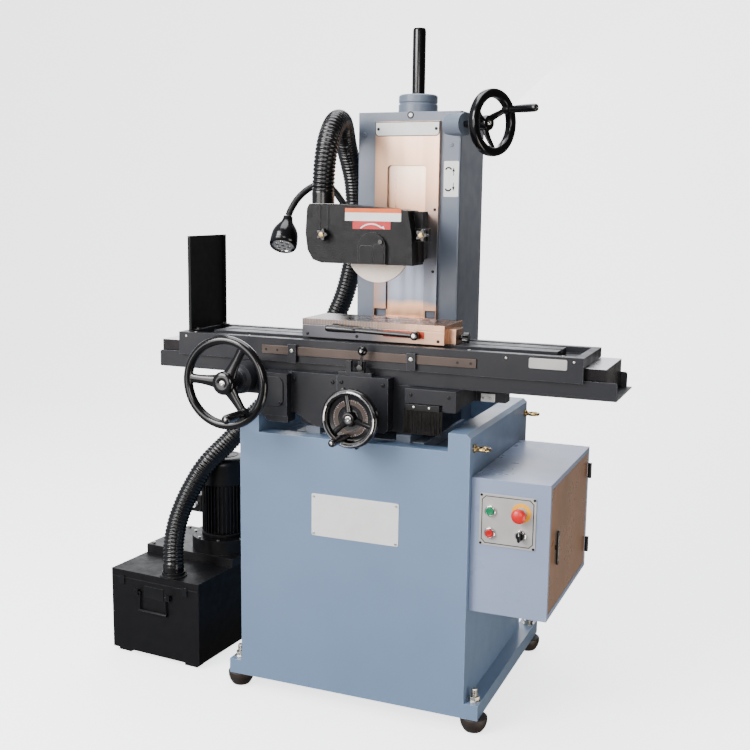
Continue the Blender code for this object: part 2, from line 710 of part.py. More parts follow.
def lift_point(along, across=0.0, up=0.0):
    """A point on or beside the elevating handwheel's axis."""
    a = Vector((math.cos(LIFT_WHEEL_ANGLE), -math.sin(LIFT_WHEEL_ANGLE), 0))
    h = Vector((math.sin(LIFT_WHEEL_ANGLE), math.cos(LIFT_WHEEL_ANGLE), 0))
    return LIFT_WHEEL_START + a * along + h * across + Vector((0, 0, up))


def lift_frame(along):
    """Local +Z runs out along the elevating handwheel's axis, local +X lies across it, local +Y is up."""
    a = lift_point(1) - lift_point(0)
    h = lift_point(0, 1) - lift_point(0)
    up = Vector((0, 0, 1))
    turn = Matrix((h, up, a)).transposed().to_4x4()
    return Matrix.Translation(lift_point(along)) @ turn


LIFT_RIM = 0.1515


def elevation_handwheel():
    rim = turned(wheel_rim(LIFT_WHEEL_R, 0.0660, 0.0130), steps=36)
    hub = turned(
        [
            (0, -0.062), (0.014, -0.062), (0.019, -0.050), (0.021, -0.030), (0.021, -0.014),
            (0.017, -0.009), (0, -0.009)
        ],
        steps=24
    )
    journal = turned([(0, -0.1425), (0.0095, -0.1425), (0.0095, -0.060), (0, -0.060)], steps=20)
    angles = [math.radians(a) for a in (34, -86, 154)]
    spokes = [spoke(a, 0.012, 0.072, 0.020, 0.015, -0.034, -0.018, -0.006, 0.006) for a in angles]
    pad = moved(
        turned([(0, -0.008), (0.0125, -0.008), (0.0125, 0.0125), (0, 0.0125)], steps=18),
        Matrix.Rotation(angles[0], 4, "Z") @ Matrix.Translation((0.068, 0, 0))
    )
    pieces = [moved(p, lift_frame(LIFT_RIM)) for p in (rim, hub, journal, *spokes, pad)]
    return node("elevation_handwheel", pieces, origin=lift_point(LIFT_RIM), **BLACK)


def elevation_grip():
    angle = math.radians(34)
    spot = lift_frame(LIFT_RIM) @ Vector((0.068 * math.cos(angle), 0.068 * math.sin(angle), 0.0125 + GAP))
    body = turned(grip_profile(0.092, 0.0110), steps=20)
    turn = lift_frame(0).to_3x3().to_4x4()
    moved(body, Matrix.Translation(spot) @ turn)
    return node("elevation_grip", [body], origin=spot, **BLACK)


# ---------------------------------------------------------------- wheel head


def wheelhead():
    """Spindle block in front of the column, the neck through the window, and the slide inside the column."""
    head = prism(rounded(HEAD_X, HEAD_Z, 0.010, "1111", 4), "y", *HEAD_Y)
    neck = block((-NECK_HALF_W, NECK_HALF_W), (0.370, 0.430), NECK_Z)
    slide = block((-0.120, 0.120), (0.4145, 0.500), (1.150, 1.309))
    bore = rod((WHEEL_X, 0.19, WHEEL_Z), (WHEEL_X, 0.320, WHEEL_Z), 0.0182, 28)
    return node("wheelhead", [head, neck, slide], [bore], **BLACK)


def slide_panel():
    """Bright strip behind the fixed cover; it travels with the head and hides the window."""
    strip = block((-0.0605, 0.0605), (0.3910, 0.3945), (0.935, 1.573))
    m = 0.0003
    hole = block((-NECK_HALF_W - m, NECK_HALF_W + m), (0.38, 0.40), (NECK_Z[0] - m, NECK_Z[1] + m))
    return node("slide_panel", [strip], [hole], **STEEL)


def elevating_screw():
    profile = [
        (0, 1.3093), (0.0190, 1.3093), (0.0190, SCREW_TOP - 0.008), (0.0165, SCREW_TOP - 0.002),
        (0.012, SCREW_TOP), (0, SCREW_TOP)
    ]
    return node("elevating_screw", [turned(profile, (0, SCREW_Y, 0), steps=28)], **BLACK)


def guard_outline(inset=0.0):
    """Front view of the guard: flat top, lower left corner swept up towards the duct."""
    d = inset
    left, right, low, top = -0.187 + d, 0.122 - d, 1.206 + d, 1.363 - d
    out = [
        (right, low), (right - 0.004, 1.290), (right - 0.016, 1.348 - d),
        (right - 0.042, 1.3515 - d), (-0.066, 1.3605 - d), (-0.088, top)
    ]
    out += [
        (-0.176 + d, top), (left + 0.004, 1.350 - d), (left, 1.285), (left + 0.006, 1.240),
        (left + 0.022, 1.214 + d), (left + 0.048, low)
    ]
    return out


def wheel_guard():
    shell = prism(guard_outline(), "y", *GUARD_Y)
    dome = prism(
        [(0.050, 1.207), (0.050, 1.251)] + arc(
            (0.0105, 1.251), 0.0395, 12, 168, 13
        ) + [(-0.029, 1.251), (-0.029, 1.207)],
        "y", 0.105, 0.125
    )
    hollow = prism(guard_outline(0.005), "y", GUARD_Y[0] + 0.005, GUARD_Y[1] - 0.006)
    mouth = block(
        (WHEEL_X - 0.103, WHEEL_X + 0.103), (GUARD_Y[0] + 0.005, GUARD_Y[1] - 0.006), (1.19, 1.26)
    )
    dome_hollow = prism(
        [(0.045, 1.19), (0.045, 1.251)] + arc(
            (0.0105, 1.251), 0.0345, 12, 168, 9
        ) + [(-0.024, 1.251), (-0.024, 1.19)],
        "y", 0.110, 0.13
    )
    spindle_hole = rod((WHEEL_X, 0.18, WHEEL_Z), (WHEEL_X, 0.21, WHEEL_Z), 0.030, 28)
    port = rod((-0.154, 0.157, 1.34), (-0.154, 0.157, 1.38), 0.026, 24)
    ear = block((0.110, 0.152), (0.150, 0.170), (1.268, 1.302))
    bracket = block((0.108, 0.133), (0.158, 0.1995), (1.295, 1.346))
    boss = rod((0.113, 0.180, 1.2135), (0.113, 0.180, 1.272), 0.0180, 20)
    return node(
        "wheel_guard", [shell, dome, ear, bracket, boss], [hollow, mouth, dome_hollow, spindle_hole, port], **BLACK
    )


def guard_knobs():
    for name, x, y, z in (
        ("guard_knob_left", -0.129, GUARD_Y[0] - GAP, 1.2817),
        ("guard_knob_right", 0.140, 0.150 - GAP, 1.2850)
    ):
        star = prism(star_outline(0.0145, 5, 0.0030, 30), "z", 0.006, 0.022)
        neck = turned([(0, 0), (0.0085, 0), (0.0085, 0.008), (0, 0.008)], steps=16)
        centre = turned([(0, 0.020), (0.0075, 0.020), (0.0070, 0.0255), (0, 0.0260)], steps=16)
        pieces = [moved(p, facing_front((x, y, z))) for p in (star, neck, centre)]
        node(name, pieces, origin=(x, y, z), **BLACK)


def grinding_wheel():
    half = WHEEL_T / 2
    profile = [(0.0163, -half), (WHEEL_R, -half), (WHEEL_R, half), (0.0163, half)]
    return node(
        "grinding_wheel", [turned(profile, (WHEEL_X, WHEEL_Y, WHEEL_Z), "y", 56)],
        origin=(WHEEL_X, WHEEL_Y, WHEEL_Z), colour=(0.80, 0.71, 0.62), roughness=0.9
    )


def spindle():
    """Spindle with the wheel's two clamping flanges and its nut."""
    face = WHEEL_T / 2 + GAP
    profile = [
        (0, -0.0355), (0.010, -0.0355), (0.017, -0.031), (0.017, -0.018), (0.036, -0.016),
        (0.036, -face)
    ]
    profile += [
        (0.0159, -face), (0.0159, face), (0.036, face), (0.036, 0.016), (0.0176, 0.018),
        (0.0176, 0.150), (0, 0.150)
    ]
    return node(
        "spindle", [turned(profile, (WHEEL_X, WHEEL_Y, WHEEL_Z), "y", 24)],
        origin=(WHEEL_X, WHEEL_Y, WHEEL_Z), **STEEL
    )


def smooth_path(points, per_span):
    """Catmull-Rom points through the given ones."""
    p = [Vector(q) for q in points]
    p = [2 * p[0] - p[1], *p, 2 * p[-1] - p[-2]]
    out = []
    for i in range(1, len(p) - 2):
        for k in range(per_span):
            t = k / per_span
            a, b, c, d = p[i - 1], p[i], p[i + 1], p[i + 2]
            out.append(
                0.5 * (
                    2 * b + (c - a) * t + (
                        2 * a - 5 * b + 4 * c - d
                    ) * t**2 + (3 * b - a - 3 * c + d) * t**3
                )
            )
    return out + [p[-2]]


def tube(name, points, radius, resolution, look):
    """A round tube along a polyline, capped at both ends."""
    data = bpy.data.curves.new(name, "CURVE")
    data.dimensions = "3D"
    data.bevel_depth = radius
    data.bevel_resolution = resolution
    data.use_fill_caps = True
    spline = data.splines.new("POLY")
    spline.points.add(len(points) - 1)
    for spot, q in zip(spline.points, points):
        spot.co = (*q, 1)
    data.materials.append(paint(name, look["colour"], look["roughness"], look.get("metallic", 0.0)))
    obj = bpy.data.objects.new(name, data)
    bpy.context.scene.collection.objects.link(obj)
    obj.parent = DATUM
    return obj


def dust_hose():
    """Suction hose from the guard's top, over and down behind the table, to the dust collector's lid."""
    route = [
        (-0.154, 0.157, 1.3634), (-0.154, 0.157, 1.400), (-0.151, 0.160, 1.472),
        (-0.149, 0.180, 1.535)
    ]
    route += [
        (-0.154, 0.235, 1.583), (-0.171, 0.315, 1.586), (-0.192, 0.397, 1.525),
        (-0.1925, 0.455, 1.430)
    ]
    route += [
        (-0.197, 0.480, 1.330), (-0.205, 0.490, 1.225), (-0.225, 0.490, 1.125),
        (-0.256, 0.482, 1.035)
    ]
    route += [
        (-0.313, 0.462, 0.920), (-0.389, 0.420, 0.827), (-0.462, 0.370, 0.738),
        (-0.524, 0.300, 0.650)
    ]
    route += [
        (-0.566, 0.219, 0.582), (-0.597, 0.190, 0.520), (-0.618, 0.165, 0.460),
        (-0.625, 0.137, 0.405)
    ]
    route += [(-0.620, 0.110, 0.350), (-0.6117, 0.0945, 0.300), (-0.6115, 0.0942, 0.2623)]
    path = smooth_path(route, 2)
    path[1].xy = path[0].xy
    path[-2].xy = path[-1].xy
    return tube("dust_hose", path, HOSE_R, 2, dict(colour=(0.02, 0.02, 0.022), roughness=0.45))


def lamp():
    route = [
        (-0.0850, 0.262, 1.318), (-0.112, 0.258, 1.330), (-0.134, 0.250, 1.362),
        (-0.160, 0.236, 1.400), (-0.190, 0.217, 1.4155)
    ]
    route += [
        (-0.216, 0.198, 1.404), (-0.238, 0.177, 1.379), (-0.251, 0.160, 1.350),
        (-0.2563, 0.151, 1.330)
    ]
    tube("lamp_gooseneck", smooth_path(route, 3), 0.0085, 2, BLACK)
    top = Vector((-0.2567, 0.1503, 1.3280))
    aim = Vector((-0.010, -0.022, -0.104)).normalized()
    profile = [(0, 0), (0.0115, 0), (0.0135, 0.016), (0.0290, 0.044), (0.0365, 0.060), (0.0380, 0.094)]
    profile += [(0.0355, 0.1005), (0.0300, 0.1010), (0.0295, 0.0985), (0, 0.0985)]
    body = turned(profile, steps=32)
    moved(body, Matrix.Translation(top) @ aim.to_track_quat("Z", "Y").to_matrix().to_4x4())
    node("lamp_head", [body], **BLACK)


# ---------------------------------------------------------------- electrical box


def control_box():
    """Sheet box whose whole right side opens; the door sits inside the flange."""
    x, y, z = BOX_X, BOX_Y, BOX_Z
    shell = block(x, y, z)
    t = 0.002
    inside = block((x[0] + t, x[1] - 0.012), (y[0] + t, y[1] - t), (z[0] + t, z[1] - t))
    mouth = block((x[1] - 0.02, x[1] + 0.01), (y[0] + 0.014, y[1] - 0.014), (z[0] + 0.014, z[1] - 0.014))
    return node("control_box", [shell], [inside, mouth], **GREY_BLUE)


DOOR_HINGE = (BOX_X[1] + 0.0010, BOX_Y[1] - 0.0150)


def control_box_door():
    hx, hy = DOOR_HINGE
    x = (BOX_X[1] - 0.010, BOX_X[1] - 0.0005)
    plate = block(x, (BOX_Y[0] + 0.0155, hy - 0.0015), (BOX_Z[0] + 0.0155, BOX_Z[1] - 0.0155))
    back = block(
        (x[0] - 0.01, x[1] - 0.002), (BOX_Y[0] + 0.0175, hy - 0.0035),
        (BOX_Z[0] + 0.0175, BOX_Z[1] - 0.0175)
    )
    return node(
        "control_box_door", [plate], [back], origin=(hx, hy, (BOX_Z[0] + BOX_Z[1]) / 2), **GREY_BLUE
    )


def door_latch():
    x, y, z = BOX_X[1] - 0.0005 + GAP, 0.093, 0.507
    bar = prism(
        rounded((y - 0.007, y + 0.007), (z - 0.045, z + 0.045), 0.0065, "1111", 5), "x", x + 0.003,
        x + 0.009
    )
    hub = turned([(0, x), (0.0062, x), (0.0062, x + 0.005), (0, x + 0.005)], (0, y, z), "x", 16)
    return node("door_latch", [bar, hub], origin=(x, y, z), **BLACK)


BUTTONS = {
    "button_start": (0.381, 0.605), "button_stop": (0.381, 0.548),
    "emergency_stop": (0.4585, 0.605), "selector_switch": (0.461, 0.551)
}


def control_panel():
    """Plate with a raised bezel round each control."""
    low = BOX_Y[0] - GAP
    plate = prism(rounded((0.352, 0.498), (0.514, 0.649), 0.004, "1111", 3), "y", low - 0.004, low)
    rings, holes = [], []
    for x, z in BUTTONS.values():
        rings.append(
            turned(
                [
                    (0.0108, low - 0.010), (0.0135, low - 0.010), (0.0145, low - 0.008),
                    (0.0145, low - 0.002), (0.0108, low - 0.002)
                ],
                (x, 0, z), "y", 18
            )
        )
        holes.append(rod((x, low - 0.02, z), (x, low + 0.01, z), 0.0108, 18))
    return node("control_panel", [plate, *rings], holes, colour=(0.62, 0.63, 0.64), roughness=0.4)


def controls():
    low = BOX_Y[0] - GAP
    for name, colour in (("button_start", (0.02, 0.35, 0.12)), ("button_stop", (0.62, 0.03, 0.03))):
        x, z = BUTTONS[name]
        body = turned(
            [
                (0, low - 0.0130), (0.0085, low - 0.0130), (0.0103, low - 0.0120),
                (0.0103, low - 0.0042), (0, low - 0.0042)
            ],
            (x, 0, z), "y", 24
        )
        node(name, [body], origin=(x, low - 0.013, z), colour=colour, roughness=0.35)
    x, z = BUTTONS["emergency_stop"]
    mushroom = [
        (0, low - 0.0330), (0.010, low - 0.0320), (0.0170, low - 0.0280), (0.0190, low - 0.0230),
        (0.0185, low - 0.0195), (0.0103, low - 0.0180), (0.0103, low - 0.0052), (0, low - 0.0052)
    ]
    node(
        "emergency_stop", [turned(mushroom, (x, 0, z), "y", 32)], origin=(x, low - 0.033, z),
        colour=(0.72, 0.03, 0.03), roughness=0.35
    )
    x, z = BUTTONS["selector_switch"]
    base = turned(
        [(0, low - 0.0150), (0.0103, low - 0.0150), (0.0103, low - 0.0010), (0, low - 0.0010)],
        (x, 0, z), "y", 24
    )
    bar = prism(
        rounded((-0.0040, 0.0040), (-0.0125, 0.0125), 0.0035, "1111", 4), "y", low - 0.0260,
        low - 0.0140
    )
    moved(bar, Matrix.Translation((x, 0, z)))
    node("selector_switch", [base, bar], origin=(x, low - 0.026, z), **BLACK)


# ---------------------------------------------------------------- dust collector


def dust_frame():
    return Matrix.Translation(DUST_CORNER) @ Matrix.Rotation(DUST_TURN, 4, "Z")


def dust_node(name, pieces, cuts=(), origin=(0, 0, 0), **look):
    """As node, for shapes given in the dust collector's own frame, whose origin is its front left corner."""
    turn = dust_frame()
    made = [moved(p, turn) for p in pieces]
    taken = [moved(c, turn) for c in cuts]
    return node(name, made, taken, origin=turn @ Vector(origin), **look)


BAIL_Z = 0.205


def dust_box():
    w, d, h = DUST_SIZE
    body = block((0, w), (0, d), (0.012, 0.012 + h))
    feet = [
        block((x, x + 0.045), (y, y + 0.030), (0.0, 0.02))
        for x in (0.014, w - 0.059)
        for y in (0.010, d - 0.040)
    ]
    lugs = [
        block((x - 0.006, x + 0.006), (-0.012, 0.002), (BAIL_Z - 0.009, BAIL_Z + 0.009))
        for x in (0.0995, 0.2155)
    ]
    inside = block((0.003, w - 0.003), (0.003, d - 0.003), (0.015, 0.012 + h - 0.003))
    inlet = rod((0.2055, 0.035, 0.24), (0.2055, 0.035, 0.28), 0.0265, 24)
    pin_holes = rod((0.08, -0.006, BAIL_Z), (0.24, -0.006, BAIL_Z), 0.0036, 12)
    return dust_node("dust_box", [body, *feet, *lugs], [inside, inlet, pin_holes], **BLACK)


def bail_handle():
    """Drop handle on the box's front; it hangs down and lifts outwards."""
    r, y, low = 0.0033, -0.006, BAIL_Z - 0.056
    pins = [
        rod((0.0915, y, BAIL_Z), (0.1115, y, BAIL_Z), r, 12),
        rod((0.2035, y, BAIL_Z), (0.2235, y, BAIL_Z), r, 12)
    ]
    legs = [rod((x, y, BAIL_Z + 0.0012), (x, y, low), 0.0029, 10) for x in (0.1098, 0.2052)]
    bar = rod((0.1065, y, low), (0.2085, y, low), 0.0048, 12)
    return dust_node("bail_handle", [*pins, *legs, bar], origin=(0.1575, y, BAIL_Z), **BLACK)


MOTOR_SPOT = (0.225, 0.273)


def fan_housing():
    """Mounting plate and scroll of the fan, with the outlet duct at its right."""
    w, d, h = DUST_SIZE
    low = 0.012 + h + GAP
    plate = block((0.0, w + 0.004), (0.170, d - 0.010), (low, low + 0.026))
    scroll = prism(circle(0.100, 32, MOTOR_SPOT), "z", low + 0.020, 0.332)
    duct = block((0.284, w + 0.004), (0.340, d - 0.010), (low + 0.020, 0.415))
    return dust_node("fan_housing", [plate, scroll, duct], **BLACK)


def fan_motor():
    """Upright motor: foot flange, finned frame, fan cowl on top and a terminal box on its side."""
    x, y = MOTOR_SPOT
    fins = []
    for k in range(24):
        a = 2 * math.pi * k / 24
        for r, off in ((0.0600, -0.062), (0.0695, -0.040), (0.0695, 0.040), (0.0600, 0.062)):
            fins.append((x + r * math.cos(a + off), y + r * math.sin(a + off)))
    frame = prism(fins, "z", 0.345, 0.505)
    foot = turned(
        [(0, 0.3323), (0.070, 0.3323), (0.070, 0.343), (0.056, 0.350), (0, 0.350)], (x, y, 0),
        steps=32
    )
    cowl = turned(
        [(0, 0.500), (0.0735, 0.500), (0.0735, 0.566), (0.068, 0.578), (0.050, 0.585), (0, 0.586)],
        (x, y, 0), steps=32
    )
    terminal = block((x - 0.096, x - 0.055), (y - 0.045, y + 0.035), (0.400, 0.455))
    return dust_node("fan_motor", [frame, foot, cowl, terminal], **BLACK)


# ---------------------------------------------------------------- build

for old in list(bpy.data.objects):
    bpy.data.objects.remove(old)

DATUM = bpy.data.objects.new("machine_datum", None)
bpy.context.scene.collection.objects.link(DATUM)
DATUM.location = SHIFT

cabinet()
levelling_feet()
lifting_eyes()
bed()
column()
column_cap()
slide_cover()
saddle()
tray()
way_covers()
apron()
gear_housing()
way_brush()
lever_block()
reverse_lever()
table()
splash_guard()
dog_rail()
dogs()
magnetic_chuck()
chuck_lever()
end_stop_knob()
table_handwheel()
table_grip()
cross_handwheel()
cross_dial()
cross_grip()
elevation_handwheel()
elevation_grip()
wheelhead()
slide_panel()
elevating_screw()
wheel_guard()
guard_knobs()
grinding_wheel()
spindle()
dust_hose()
lamp()
control_box()
control_box_door()
door_latch()
control_panel()
controls()
dust_box()
bail_handle()
fan_housing()
fan_motor()
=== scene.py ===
"""Looks of the manual surface grinder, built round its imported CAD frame. Metres, +Z up.

Shapes are given from the machine's own datum: x = 0 is the column's centre plane, y = 0 the cabinet's
front sheet, z = 0 the floor. DATUM moves that datum to the frame's world."""

import math

import bmesh
import bpy
import numpy as np
from mathutils import Matrix, Vector


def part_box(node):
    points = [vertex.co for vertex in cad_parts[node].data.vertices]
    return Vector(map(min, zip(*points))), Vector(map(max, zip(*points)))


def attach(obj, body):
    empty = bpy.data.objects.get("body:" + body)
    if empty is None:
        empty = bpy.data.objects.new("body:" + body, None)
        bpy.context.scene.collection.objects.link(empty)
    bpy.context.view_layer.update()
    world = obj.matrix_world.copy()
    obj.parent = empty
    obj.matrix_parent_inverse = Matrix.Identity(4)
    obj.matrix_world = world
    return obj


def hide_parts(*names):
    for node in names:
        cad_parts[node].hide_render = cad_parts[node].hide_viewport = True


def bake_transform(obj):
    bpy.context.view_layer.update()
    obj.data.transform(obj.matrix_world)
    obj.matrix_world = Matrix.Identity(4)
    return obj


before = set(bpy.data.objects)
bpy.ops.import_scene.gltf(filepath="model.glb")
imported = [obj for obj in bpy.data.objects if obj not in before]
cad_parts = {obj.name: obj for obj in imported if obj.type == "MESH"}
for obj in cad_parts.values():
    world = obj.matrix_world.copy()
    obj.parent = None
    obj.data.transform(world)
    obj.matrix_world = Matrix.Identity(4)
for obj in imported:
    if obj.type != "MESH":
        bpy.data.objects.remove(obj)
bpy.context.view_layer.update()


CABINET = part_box("cabinet")[0]
DATUM = Vector((CABINET[0] + 0.367, CABINET[1], 0.0))

TABLE_WHEEL = Vector((-0.314, -0.1, 0.897))
CROSS_WHEEL = Vector((0.033, -0.09, 0.828))
LIFT_START = Vector((0.12, 0.41, 1.585))
LIFT_ANGLE = math.radians(23.4)
LIFT_RIM = 0.1515
GRINDING = Vector((0.008, 0.16, 1.246))
BUTTON_Y = 0.0197
UP = (0, 0, 1)
FORWARD = (0, -1, 0)
DUST = Matrix.Translation((-0.819, 0.074, 0.0)) @ Matrix.Rotation(math.radians(-4.1), 4, "Z")
MOTOR = (0.225, 0.273)
HOSE_R = 0.031
HOSE_PITCH = 0.0105
HOSE_DEPTH = 0.0034


# ---------------------------------------------------------------- camera


def place_camera():
    yaw, pitch, roll = math.radians(22.302), math.radians(9.249), math.radians(-0.7248)
    ahead = Vector((-math.sin(yaw) * math.cos(pitch), math.cos(yaw) * math.cos(pitch), -math.sin(pitch)))
    right = Vector((math.cos(yaw), math.sin(yaw), 0))
    down = ahead.cross(right)
    x = math.cos(roll) * right + math.sin(roll) * down
    y = math.sin(roll) * right - math.cos(roll) * down
    data = bpy.data.cameras.new("camera")
    data.lens = 51.214
    data.sensor_width = 36
    data.clip_end = 60
    camera = bpy.data.objects.new("camera", data)
    bpy.context.scene.collection.objects.link(camera)
    turn = Matrix((x, y, -ahead)).transposed().to_4x4()
    camera.matrix_world = Matrix.Translation(DATUM + Vector((1.094, -2.5001, 1.3713))) @ turn
    bpy.context.scene.camera = camera


place_camera()


# ---------------------------------------------------------------- shapes


def block(x, y, z):
    made = bmesh.new()
    corners = [made.verts.new((a, b, c)) for a in x for b in y for c in z]
    for ring in ((0, 1, 3, 2), (4, 6, 7, 5), (0, 4, 5, 1), (2, 3, 7, 6), (0, 2, 6, 4), (1, 5, 7, 3)):
        made.faces.new([corners[i] for i in ring])
    bmesh.ops.recalc_face_normals(made, faces=made.faces)
    return made


def prism(outline, axis, low, high):
    order = {"x": lambda u, v, t: (t, u, v), "y": lambda u, v, t: (u, t, v), "z": lambda u, v, t: (u, v, t)}
    put = order[axis]
    made = bmesh.new()
    near = [made.verts.new(put(u, v, low)) for u, v in outline]
    far = [made.verts.new(put(u, v, high)) for u, v in outline]
    made.faces.new(near)
    made.faces.new(far[::-1])
    for i in range(len(outline)):
        j = (i + 1) % len(outline)
        made.faces.new([near[i], far[i], far[j], near[j]])
    bmesh.ops.recalc_face_normals(made, faces=made.faces)
    return made


def turned(profile, centre=(0, 0, 0), axis="z", steps=64):
    made = bmesh.new()
    rings = []
    for radius, height in profile:
        if radius < 1e-7:
            rings.append([made.verts.new((0, 0, height))])
            continue
        turns = [2 * math.pi * k / steps for k in range(steps)]
        rings.append([made.verts.new((radius * math.cos(a), radius * math.sin(a), height)) for a in turns])
    for i, low in enumerate(rings):
        high = rings[(i + 1) % len(rings)]
        if len(low) == 1 and len(high) == 1:
            continue
        for k in range(steps):
            m = (k + 1) % steps
            ring = [low[k % len(low)], low[m % len(low)], high[m % len(high)], high[k % len(high)]]
            made.faces.new(list(dict.fromkeys(ring)))
    bmesh.ops.recalc_face_normals(made, faces=made.faces)
    turn = {"z": Matrix.Identity(4), "x": Matrix.Rotation(math.pi / 2, 4, "Y")}
    turn["y"] = Matrix.Rotation(-math.pi / 2, 4, "X")
    return moved(made, shift(*centre) @ turn[axis])


def moved(made, matrix):
    bmesh.ops.transform(made, matrix=matrix, verts=made.verts)
    return made


def shift(x, y, z):
    return Matrix.Translation((x, y, z))


def spin(angle):
    return Matrix.Rotation(angle, 4, "Z")


def toward(point, direction):
    """A frame at a point whose local +Z runs along a direction."""
    turn = Vector(direction).to_track_quat("Z", "Y").to_matrix().to_4x4()
    return Matrix.Translation(point) @ turn


def front(point):
    """Local +Z becomes machine -Y, local +X stays +X."""
    return Matrix.Translation(point) @ Matrix.Rotation(math.pi / 2, 4, "X")


def rod(start, end, radius, steps=32, end_radius=None):
    run = Vector(end) - Vector(start)
    far = radius if end_radius is None else end_radius
    made = turned([(0, 0), (radius, 0), (far, run.length), (0, run.length)], steps=steps)
    return moved(made, toward(start, run))


def arc(centre, radius, first, last, count):
    angles = [math.radians(first + (last - first) * k / (count - 1)) for k in range(count)]
    return [(centre[0] + radius * math.cos(a), centre[1] + radius * math.sin(a)) for a in angles]


def rounded(x, z, radius, corners="1111", count=7):
    """A rectangle whose corners marked 1 are round, counted from the low left one."""
    out = []
    spots = ((x[0], z[0], 180), (x[1], z[0], 270), (x[1], z[1], 0), (x[0], z[1], 90))
    for keep, (cx, cz, first) in zip(corners, spots):
        if keep == "0":
            out.append((cx, cz))
            continue
        sx = 1 if cx == x[0] else -1
        sz = 1 if cz == z[0] else -1
        out += arc((cx + sx * radius, cz + sz * radius), radius, first, first + 90, count)
    return out


def ellipse(middle, half_u, half_v, count):
    angles = [2 * math.pi * k / count for k in range(count)]
    return [(middle + half_u * math.cos(a), half_v * math.sin(a)) for a in angles]


def squircle(middle, half_u, half_v, count):
    """A round-cornered section, fuller than an ellipse."""
    out = []
    for u, v in ellipse(0.0, 1.0, 1.0, count):
        u, v = math.copysign(abs(u) ** 0.6, u), math.copysign(abs(v) ** 0.6, v)
        out.append((middle + half_u * u, half_v * v))
    return out


def loft(rows):
    """A closed skin through rows of points that all have the same count, capped at both ends."""
    made = bmesh.new()
    rings = [[made.verts.new(p) for p in row] for row in rows]
    for low, high in zip(rings, rings[1:]):
        for i in range(len(low)):
            j = (i + 1) % len(low)
            made.faces.new([low[i], low[j], high[j], high[i]])
    made.faces.new(rings[0][::-1])
    made.faces.new(rings[-1])
    bmesh.ops.recalc_face_normals(made, faces=made.faces)
    return made


def drum(radius, low, high, centre=(0, 0, 0), axis="z", steps=32):
    return turned([(0, low), (radius, low), (radius, high), (0, high)], centre, axis, steps)


def soft(made, width, segments=3, angle=28):
    """Rounds every edge sharper than an angle."""
    sharp = [e for e in made.edges if len(e.link_faces) == 2 and e.calc_face_angle(0) > math.radians(angle)]
    bmesh.ops.bevel(
        made, geom=sharp, offset=width, segments=segments, profile=0.5, affect="EDGES", clamp_overlap=True
    )
    return made


def slab(u, v, radius, axis, heights, width=0.0, segments=3, corners="1111", count=7):
    """A round-cornered sheet between two heights on an axis, its edges eased where a width is given."""
    made = prism(rounded(u, v, radius, corners, count), axis, *heights)
    return soft(made, width, segments) if width else made


def cad(node):
    """A copy of a CAD node's mesh in machine coordinates, with its flat faces whole again."""
    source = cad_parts[node]
    made = bmesh.new()
    made.from_mesh(source.data)
    moved(made, Matrix.Translation(-DATUM) @ source.matrix_world)
    bmesh.ops.remove_doubles(made, verts=made.verts, dist=2e-5)
    bmesh.ops.dissolve_limit(made, angle_limit=math.radians(1.0), verts=made.verts, edges=made.edges)
    return made


def flat_normals(obj):
    """Lets broad faces keep their own normal, so that the shading turns only in the rounded edges."""
    modifier = obj.modifiers.new("weighted", "WEIGHTED_NORMAL")
    modifier.keep_sharp = True
    modifier.weight = 80
    graph = bpy.context.evaluated_depsgraph_get()
    plain = obj.data
    mesh = bpy.data.meshes.new_from_object(obj.evaluated_get(graph))
    obj.modifiers.clear()
    obj.data = mesh
    bpy.data.meshes.remove(plain)
    mesh.name = obj.name


def piece(name, parts, body, finish_key, replaces=(), angle=32):
    """One object made of one or more shapes, riding on a body."""
    whole = bmesh.new()
    for part in parts:
        mesh = bpy.data.meshes.new("part")
        part.to_mesh(mesh)
        part.free()
        whole.from_mesh(mesh)
        bpy.data.meshes.remove(mesh)
    moved(whole, Matrix.Translation(DATUM))
    mesh = bpy.data.meshes.new(name)
    whole.to_mesh(mesh)
    whole.free()
    mesh.shade_smooth()
    mesh.set_sharp_from_angle(angle=math.radians(angle))
    mesh.materials.append(M[finish_key])
    obj = bpy.data.objects.new(name, mesh)
    bpy.context.scene.collection.objects.link(obj)
    flat_normals(obj)
    if body:
        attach(obj, body)
    if replaces:
        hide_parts(*replaces)
    return obj


def refine(node, body, finish_key, width, segments=2):
    """A CAD node's own shape with its edges rounded."""
    made = soft(cad(node), width, segments)
    return piece(node + "_shell", [made], body, finish_key, [node])


def screw_head(point, direction, radius, height=0.0022):
    """A domed socket screw."""
    shape = [(0, 0), (1, 0), (1, 0.55), (0.9, 0.85), (0.7, 1), (0.46, 1), (0.42, 0.45), (0, 0.4)]
    profile = [(r * radius, h * height) for r, h in shape]
    return moved(turned(profile, steps=20), toward(point, direction))


def screws(spots, y, radius, height=0.0022):
    """Screw heads that look forward, at (x, z) places."""
    return [screw_head((x, y, z), FORWARD, radius, height) for x, z in spots]


def hex_nut(point, direction, radius, height):
    outline = ellipse(0, radius, radius, 6)
    nut = soft(prism(outline, "z", 0, height), radius * 0.07, 2)
    return moved(nut, toward(point, direction))


# ---------------------------------------------------------------- materials


